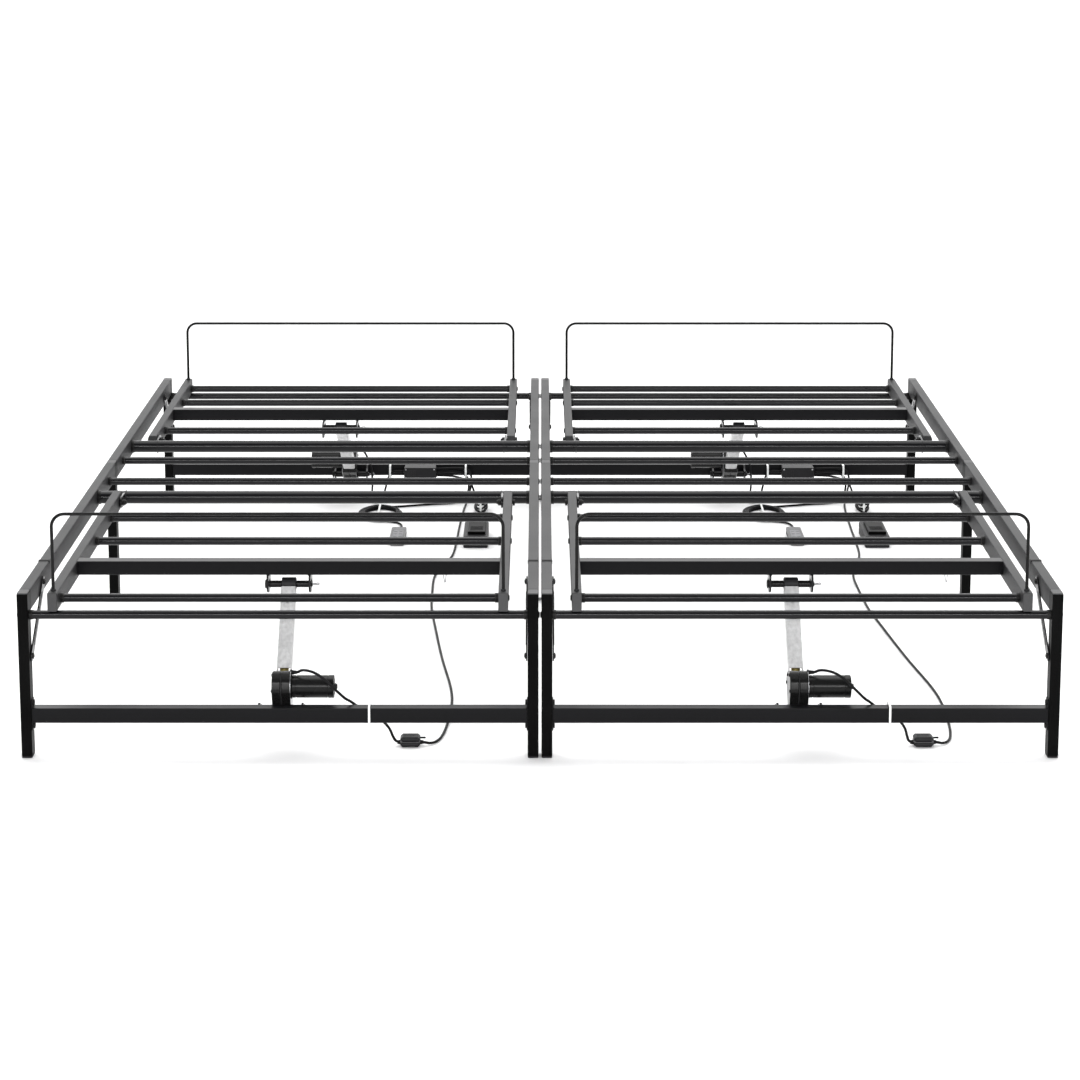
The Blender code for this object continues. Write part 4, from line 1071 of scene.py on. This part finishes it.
def pin(bm, at, reach, head=0.0086):
    """A pin with a domed head at its left end."""
    left, right = -reach, reach + 0.0028
    turned(bm, "X", at, [(left - 0.0040, head * 0.55, 0), (left - 0.0036, head * 0.86, 0),
                         (left - 0.0024, head, 0),
                         (left - 0.0010, head, 0), (left - 0.0008, PIN_R, 0), (right - 0.0008, PIN_R, 0),
                         (right, PIN_R - 0.0009, 0)], 28)


def upper_pin(end):
    metal, sleeves, clip = bmesh.new(), bmesh.new(), bmesh.new()
    at = (DRIVE[end]["length"], 0.0)
    reach = PLATE_X[1] * 1.0
    pin(metal, at, reach)
    for s in (-1, 1):
        rod(sleeves, "X", at, 0.0066, facing(s, CHANNEL_HALF - 0.0002, PLATE_X[0] - 0.0006), 0.0006, 28)
    spring_clip(clip, at, reach + 0.0016)
    if end == "head":
        for bm in (metal, clip):
            bm.transform(Matrix.Translation((0, 2 * at[0], 0)) @ Matrix.Rotation(pi, 4, "Z"))
    drive_piece(end, "upper_pin", metal, "bolt_black", "rod", [end + "_clevis_pin"])
    drive_piece(end, "pin_sleeves", sleeves, "gloss_plastic", "rod")
    drive_piece(end, "upper_clip", clip, "plain_steel", "rod", weighted=False)


def lower_bracket(end):
    """Two ears behind the lower beam, their pin and its clip; they stay with the frame."""
    ears, metal, clip = bmesh.new(), bmesh.new(), bmesh.new()
    ear = [(0.0278, 0.062), (0.0278, 0.0955), (0.034, 0.0955), (0.048, 0.088), (0.0635, 0.084),
           (0.0665, 0.075),
           (0.0615, 0.0645), (0.052, 0.0605)]
    outline = [(along(end, y), z) for y, z in ear]
    for s in (-1, 1):
        plate(ears, filleted(outline, 0.003), facing(s, *PLATE_X), 0.0006)
    pin(metal, LOWER_PIN[end], 0.0432)
    for s in (-1, 1):
        rod(metal, "X", LOWER_PIN[end], 0.0066, facing(s, 0.0192, 0.0374), 0.0006, 28)
    spring_clip(clip, LOWER_PIN[end], 0.0446)
    piece(end + "_lower_ears", ears, "tube_coat")
    piece(end + "_lower_pin", metal, "bolt_black")
    piece(end + "_lower_clip", clip, "plain_steel", weighted=False)


for end in ("foot", "head"):
    upper_pin(end)
    lower_bracket(end)
print("pins")

# %% [markdown]
# ## Control box and mains adaptor
# The control box is two shells that meet at a joint line, with a screw at each corner of
# its end face and a threaded gland round every cable. The adaptor is a slab with a
# raised cover. Both are bars with large corner radii and eased rims: a moulded box
# never has sharp edges, because it could not leave its mould.

# %% Control box, adaptor
BOX_X, BOX_Y, BOX_Z = (0.1344, 0.2150), (1.945, 1.9815), (0.063, 0.094)
GLAND_Y = 1.966
GLANDS = {0.0865: 1, 0.0780: 1, 0.0695: 1, 0.0800: -1}
ADAPTOR_X, ADAPTOR_Y = (0.2955, 0.3540), (1.511, 1.655)
ADAPTOR_LEAD_AT = (0.3276, 0.0140)      # across and up


def gland(bm, axis, at, face, side, radius=0.0036):
    """A threaded gland: a hexagon against the wall, then a domed ring round the cable."""
    turned(bm, axis, at, [(face - side * 0.0006, radius, 0), (face + side * 0.0001, radius, 0.9),
                          (face + side * 0.0012, radius, 0.9), (face + side * 0.0014, radius * 0.92, 0),
                          (face + side * 0.0024, radius * 0.88, 0),
                          (face + side * 0.0028, radius * 0.78, 0)], 24)


def control_box():
    shells, details, screws = bmesh.new(), bmesh.new(), bmesh.new()
    seam = 1.9640
    bar(shells, "Y", BOX_X, BOX_Z, (BOX_Y[0], seam - 0.0004), corner=0.0035, rim=0.0016)
    bar(shells, "Y", (BOX_X[0] + 0.0003, BOX_X[1] - 0.0003), (BOX_Z[0] + 0.0003, BOX_Z[1] - 0.0003),
        (seam + 0.0004, BOX_Y[1]), corner=0.0032, rim=0.0008)
    bar(details, "Y", (BOX_X[0] + 0.0010, BOX_X[1] - 0.0010), (BOX_Z[0] + 0.0010, BOX_Z[1] - 0.0010),
        (seam - 0.0012, seam + 0.0012), corner=0.0028)
    for k in range(5):
        x = BOX_X[0] + 0.0090 + k * 0.0044
        bar(shells, "Y", (x, x + 0.0020), (0.0690, 0.0880), (BOX_Y[0] - 0.0006, BOX_Y[0] + 0.0004),
            corner=0.0009,
            rim=0.0004)
    for x in (BOX_X[0] + 0.0045, BOX_X[1] - 0.0045):
        for z in (BOX_Z[0] + 0.0045, BOX_Z[1] - 0.0045):
            turned(screws, "Y", (x, z), [(BOX_Y[0] + 0.0002, 0.0021, 0), (BOX_Y[0] - 0.0004, 0.0020, 0),
                                         (BOX_Y[0] - 0.0008, 0.0015, 0), (BOX_Y[0] - 0.0008, 0.0009, 1.0),
                                         (BOX_Y[0] - 0.0001, 0.0008, 1.0)], 18)
    for z, side in GLANDS.items():
        gland(details, "X", (GLAND_Y, z), BOX_X[1] if side > 0 else BOX_X[0], side)
    piece("control_box_shells", shells, "matt_plastic", stands_for=["control_box"])
    piece("control_box_glands", details, "gloss_plastic")
    piece("control_box_screws", screws, "plain_steel")


def adaptor():
    slab, cover, boot = bmesh.new(), bmesh.new(), bmesh.new()
    bar(slab, "Z", ADAPTOR_X, ADAPTOR_Y, (0.0, 0.0135), corner=0.0050, rim=0.0014, steps=6)
    bar(slab, "Z", (ADAPTOR_X[0] + 0.0005, ADAPTOR_X[1] - 0.0005),
        (ADAPTOR_Y[0] + 0.0005, ADAPTOR_Y[1] - 0.0005),
        (0.0134, 0.0142), corner=0.0046, rim=0.0001, steps=6)
    bar(slab, "Z", ADAPTOR_X, ADAPTOR_Y, (0.0141, 0.0280), corner=0.0050, rim=0.0016, steps=6)
    x, y = (ADAPTOR_X[0] + 0.0100, ADAPTOR_X[1] - 0.0060), (ADAPTOR_Y[0] + 0.0190, ADAPTOR_Y[1] - 0.0100)
    bar(cover, "Z", x, y, (0.0275, 0.0350), corner=0.0040, rim=0.0014, steps=6)
    for k in range(6):
        rib = y[0] + 0.018 + k * 0.006
        bar(cover, "Z", (x[0] + 0.006, x[1] - 0.006), (rib, rib + 0.0022), (0.0345, 0.03545),
            corner=0.0010, rim=0.0003)
    turned(boot, "Y", ADAPTOR_LEAD_AT, [(ADAPTOR_Y[1] - 0.001, 0.0060, 0),
                                        (ADAPTOR_Y[1] + 0.0010, 0.0058, 0),
                                         (ADAPTOR_Y[1] + 0.0020, 0.0046, 0),
                                        (ADAPTOR_Y[1] + 0.0120, 0.0033, 0),
                                         (ADAPTOR_Y[1] + 0.0122, 0.0022, 0)], 24)
    piece("adaptor_slab", slab, "matt_plastic", stands_for=["power_brick"])
    piece("adaptor_cover", cover, "shade_darkened_coat")
    piece("adaptor_boot", boot, "cord_jacket")


control_box()
adaptor()
print("control box and adaptor")

# %% [markdown]
# ## Handset and in-line connector
# The handset has a dark lower shell, a grey face with a sunk window, and a rubber
# keypad that moves a little when a key is pressed. The window's frame is a ring that
# closes on itself, so it has an inside wall too. Keys are low domes without signs.

# %% Handset, keypad, connector
HANDSET_X, HANDSET_Y, FIRST_KEY_Y = (0.1185, 0.1545), (1.5305, 1.652), 1.561
HANDSET_LEAD_AT = (0.1365, 0.0080)      # across and up
WINDOW_X, WINDOW_Y = (0.1245, 0.1485), (1.549, 1.622)


def handset():
    lower, face, keys, boot = (bmesh.new() for _ in range(4))
    bar(lower, "Z", HANDSET_X, HANDSET_Y, (0.0, 0.0078), corner=0.0060, rim=0.0022, steps=6)
    bar(face, "Z", HANDSET_X, HANDSET_Y, (0.0083, 0.0131), corner=0.0060, rim=0.0004, steps=6)
    bar(lower, "Z", (HANDSET_X[0] + 0.0008, HANDSET_X[1] - 0.0008),
        (HANDSET_Y[0] + 0.0008, HANDSET_Y[1] - 0.0008),
        (0.0070, 0.0090), corner=0.0055, steps=6)
    gap = 0.0003
    rings = []
    for inset, z in ((0.0, 0.0129), (0.0, 0.0146), (0.0005, 0.0154), (0.0016, 0.0160)):
        rings.append([(x, y, z) for x, y in rounded(HANDSET_X[0] + inset, HANDSET_X[1] - inset,
                                                    HANDSET_Y[0] + inset,
                                                    HANDSET_Y[1] - inset, 0.0060 - inset, 6)])
    for z in (0.0160, 0.0129):
        rings.append([(x, y, z) for x, y in rounded(WINDOW_X[0] - gap, WINDOW_X[1] + gap,
                                                    WINDOW_Y[0] - gap,
                                                    WINDOW_Y[1] + gap, 0.0020, 6)])
    skin(face, rings, closed=True)
    bar(keys, "Z", WINDOW_X, WINDOW_Y, (0.0139, 0.0158), corner=0.0018, rim=0.0004, steps=6)
    middle = sum(HANDSET_X) / 2
    for s in (-1, 1):
        for row in range(3):
            turned(keys, "Z", (middle + s * 0.006, FIRST_KEY_Y + 0.024 * row),
                   [(0.0154, 0.0046, 0), (0.0166, 0.0044, 0), (0.0171, 0.0038, 0), (0.0172, 0.0012, 0)],
                   24)
    turned(boot, "Y", HANDSET_LEAD_AT, [(HANDSET_Y[1] - 0.001, 0.0052, 0),
                                        (HANDSET_Y[1] + 0.0010, 0.0050, 0),
                                         (HANDSET_Y[1] + 0.0018, 0.0042, 0),
                                        (HANDSET_Y[1] + 0.0110, 0.0033, 0),
                                         (HANDSET_Y[1] + 0.0112, 0.0022, 0)], 24)
    piece("handset_lower_shell", lower, "matt_plastic", stands_for=["handset"])
    piece("handset_face", face, "grey_plastic")
    piece("handset_keys", keys, "key_rubber", "keypad", ["handset_keypad"])
    piece("handset_boot", boot, "cord_jacket")


CONNECTOR_LEADS_AT = (0.072, 0.0065)      # along the bed and up


def connector():
    body, seam, boots = bmesh.new(), bmesh.new(), bmesh.new()
    bar(body, "X", (0.058, 0.086), (0.0, 0.0098), (0.2181, 0.2547), corner=0.0044, rim=0.0040, steps=6)
    bar(body, "X", (0.058, 0.086), (0.0102, 0.0200), (0.2181, 0.2547), corner=0.0044, rim=0.0040, steps=6)
    bar(seam, "Z", (0.2178, 0.2550), (0.0577, 0.0863), (0.0094, 0.0106), corner=0.0042, rim=0.0003,
        steps=6)
    for k in range(4):
        x = 0.2255 + k * 0.0052
        bar(body, "Z", (x, x + 0.0022), (0.0630, 0.0810), (0.0195, 0.0200), corner=0.0008, rim=0.0003)
    for face, side in ((0.2181, -1), (0.2547, 1)):
        turned(boots, "X", CONNECTOR_LEADS_AT,
               [(face - side * 0.001, 0.0046, 0), (face + side * 0.0008, 0.0044, 0),
                                             (face + side * 0.0060, 0.0033, 0),
                                                (face + side * 0.0062, 0.0020, 0)], 24)
    rod(boots, "X", (0.072, 0.0152), 0.0017, (0.2535, 0.2650), 0.0006, 16)
    piece("connector_body", body, "matt_plastic", stands_for=["cable_connector"])
    piece("connector_seam", seam, "grey_plastic")
    piece("connector_boots", boots, "cord_jacket")


handset()
connector()
print("handset and connector")

# %% [markdown]
# ## Cable ties
# White nylon ties hold the cables to the beams and the coil together. A tie is a flat
# strap in a closed loop, a small locking head, and the tail that was pulled through.
# The loop is a ring of small rectangles that closes on itself.

# %% Ties
STRAP_W, STRAP_T = 0.0046, 0.0012


def tie(name, x, y, z, head, tail, corner=0.004, body="frame", width=STRAP_W):
    """A strap round (y, z) limits at one x. head is a point, tail the points that its end follows."""
    bm = bmesh.new()
    path = rounded(y[0], y[1], z[0], z[1], corner, 5)
    inside = rounded(y[0] + STRAP_T, y[1] - STRAP_T, z[0] + STRAP_T, z[1] - STRAP_T,
                     corner - STRAP_T * 0.8, 5)
    skin(bm, [[(x - width / 2, *a), (x + width / 2, *a), (x + width / 2, *b), (x - width / 2, *b)]
              for a, b in zip(path, inside)], closed=True)
    hy, hz = head
    bar(bm, "X", (hy - 0.0032, hy + 0.0032), (hz - 0.0030, hz + 0.0030),
        (x - width * 0.72, x + width * 0.72),
        corner=0.0009, rim=0.0006)
    rings = []
    for (ty, tz), (ny, nz) in zip(tail, tail[1:]
                                  + [(2 * tail[-1][0] - tail[-2][0], 2 * tail[-1][1] - tail[-2][1])]):
        normal = Vector((-(nz - tz), ny - ty)).normalized() * STRAP_T * 0.45
        half = width * (0.36 if (ty, tz) != tail[-1] else 0.16)
        rings.append([(x - half, ty + normal.x, tz + normal.y), (x + half, ty + normal.x, tz + normal.y),
                      (x + half, ty - normal.x, tz - normal.y), (x - half, ty - normal.x, tz - normal.y)])
    skin(bm, rings)
    return piece(name, bm, "white_nylon", body, weighted=False)


tie("foot_beam_tie", 0.1645, (0.0008, 0.0395), (0.0632, 0.0985), (0.0412, 0.0720),
    [(0.0016, 0.0660), (0.0010, 0.0600), (0.0014, 0.0540), (0.0024, 0.0490)], width=0.0038)
for label, x in (("left_end", 0.0986), ("right_end", 0.2900)):
    tie("head_beam_tie_" + label, x, (1.9535, 2.0092), (0.0632, 0.0968), (1.9950, 0.0985),
        [(1.9930, 0.0985), (1.9860, 0.1000), (1.9790, 0.1020)])
tie("coil_tie", 0.0770, (1.7562, 1.8998), (0.0002, 0.0142), (1.9010, 0.0090),
    [(1.9010, 0.0100), (1.9030, 0.0160), (1.9070, 0.0200)], corner=0.0055)


def spare_loops():
    """The short hank behind the adaptor: three uneven oval loops, tied across the middle."""
    bm = bmesh.new()
    for k in range(3):
        ring = [Vector((0.3300 + 0.0012 * k + (0.0150 - 0.0012 * k) * cos(a),
                        1.8780 + (0.0350 - 0.0025 * k) * sin(a) - 0.0030 * k,
                        0.0105 + 0.0062 * k + 0.0045 * sin(a + 0.9 * k)))
                for a in (2 * pi * j / 36 for j in range(37))]
        tube(bm, ring, CORD_R, 12)
    piece("spare_lead_loops", bm, "cord_jacket")


spare_loops()
tie("loops_tie", 0.3300, (1.8370, 1.9170), (0.0060, 0.0310), (1.8360, 0.0200),
    [(1.8350, 0.0200), (1.8330, 0.0270)],
    corner=0.0060)
hook = bmesh.new()
tube(hook, [Vector((0.2925, 0.2390, 0.2885)), Vector((0.2940, 0.2390, 0.2800)),
            Vector((0.2966, 0.2388, 0.2675)),
            Vector((0.2978, 0.2388, 0.2690)), Vector((0.2988, 0.2390, 0.2800)),
            Vector((0.3005, 0.2390, 0.2885))], 0.0008, 8)
piece("section_tie_tail", hook, "plain_steel", "foot_section")
print("ties")

# %% [markdown]
# ## Cord lengths
# Each cord printed its length when it was laid, in the cells above.

# %% [markdown]
# ## Floor and light
# A plain pale floor, a bright even surround and two large soft boxes. The surround is
# brighter behind and above the bed than on the camera's side: black parts then keep
# dark fronts while their tops and edges pick up long soft reflections, the usual way
# to light a black object so that its form still shows.

# %% Floor, surround and lamps
FLOOR_REACH, FLOOR_DROP = 60, 0.0004
floor_mesh = bpy.data.meshes.new("studio_floor")
corners = [(-FLOOR_REACH, -FLOOR_REACH), (FLOOR_REACH, -FLOOR_REACH), (FLOOR_REACH, 2 * FLOOR_REACH),
           (-FLOOR_REACH, 2 * FLOOR_REACH)]
floor_mesh.from_pydata([(x, y, -FLOOR_DROP) for x, y in corners], [], [(0, 1, 2, 3)])
floor = bpy.data.objects.new("studio_floor", floor_mesh)
bpy.context.scene.collection.objects.link(floor)
floor_mesh.materials.append(finish("pale_floor", (0.92, 0.92, 0.92), (0.95, 0.95, 0.95), (0.75, 0.85),
                                   grain=3.0, bump=0.0,
                                   specular=0.1))

world = bpy.data.worlds.new("studio_surround")
bpy.context.scene.world = world
world.use_nodes = True
nodes, links = world.node_tree.nodes, world.node_tree.links
ground = nodes["Background"]
direction, parts, ramp, mix = (nodes.new(kind) for kind in
                               ("ShaderNodeTexCoord", "ShaderNodeSeparateXYZ", "ShaderNodeMapRange",
                                "ShaderNodeMix"))
links.new(direction.outputs["Generated"], parts.inputs["Vector"])
links.new(parts.outputs["Y"], ramp.inputs["Value"])
ramp.inputs["From Min"].default_value, ramp.inputs["From Max"].default_value = -0.6, 0.7
mix.data_type = "RGBA"
mix.inputs["A"].default_value, mix.inputs["B"].default_value = (0.18, 0.18, 0.19, 1.0), (2.4, 2.4, 2.4, 1.0)
links.new(ramp.outputs["Result"], mix.inputs["Factor"])
links.new(mix.outputs["Result"], ground.inputs["Color"])
ground.inputs["Strength"].default_value = 1.0


def soft_box(name, at, target, size, power):
    data = bpy.data.lights.new(name, "AREA")
    data.shape, data.size, data.size_y, data.energy = "RECTANGLE", size[0], size[1], power
    lamp = bpy.data.objects.new(name, data)
    lamp.location = at
    lamp.rotation_euler = (Vector(target) - Vector(at)).to_track_quat("-Z", "Y").to_euler()
    bpy.context.scene.collection.objects.link(lamp)


soft_box("overhead_box", (0.0, 0.6, 3.6), (0.0, 0.0, 0.0), (4.0, 3.0), 90.0)
soft_box("front_strip", (0.0, -6.3, 2.0), (0.0, 0.0, 0.3), (6.0, 0.35), 300.0)
bpy.context.scene.view_settings.view_transform = "Standard"
print("stage set")
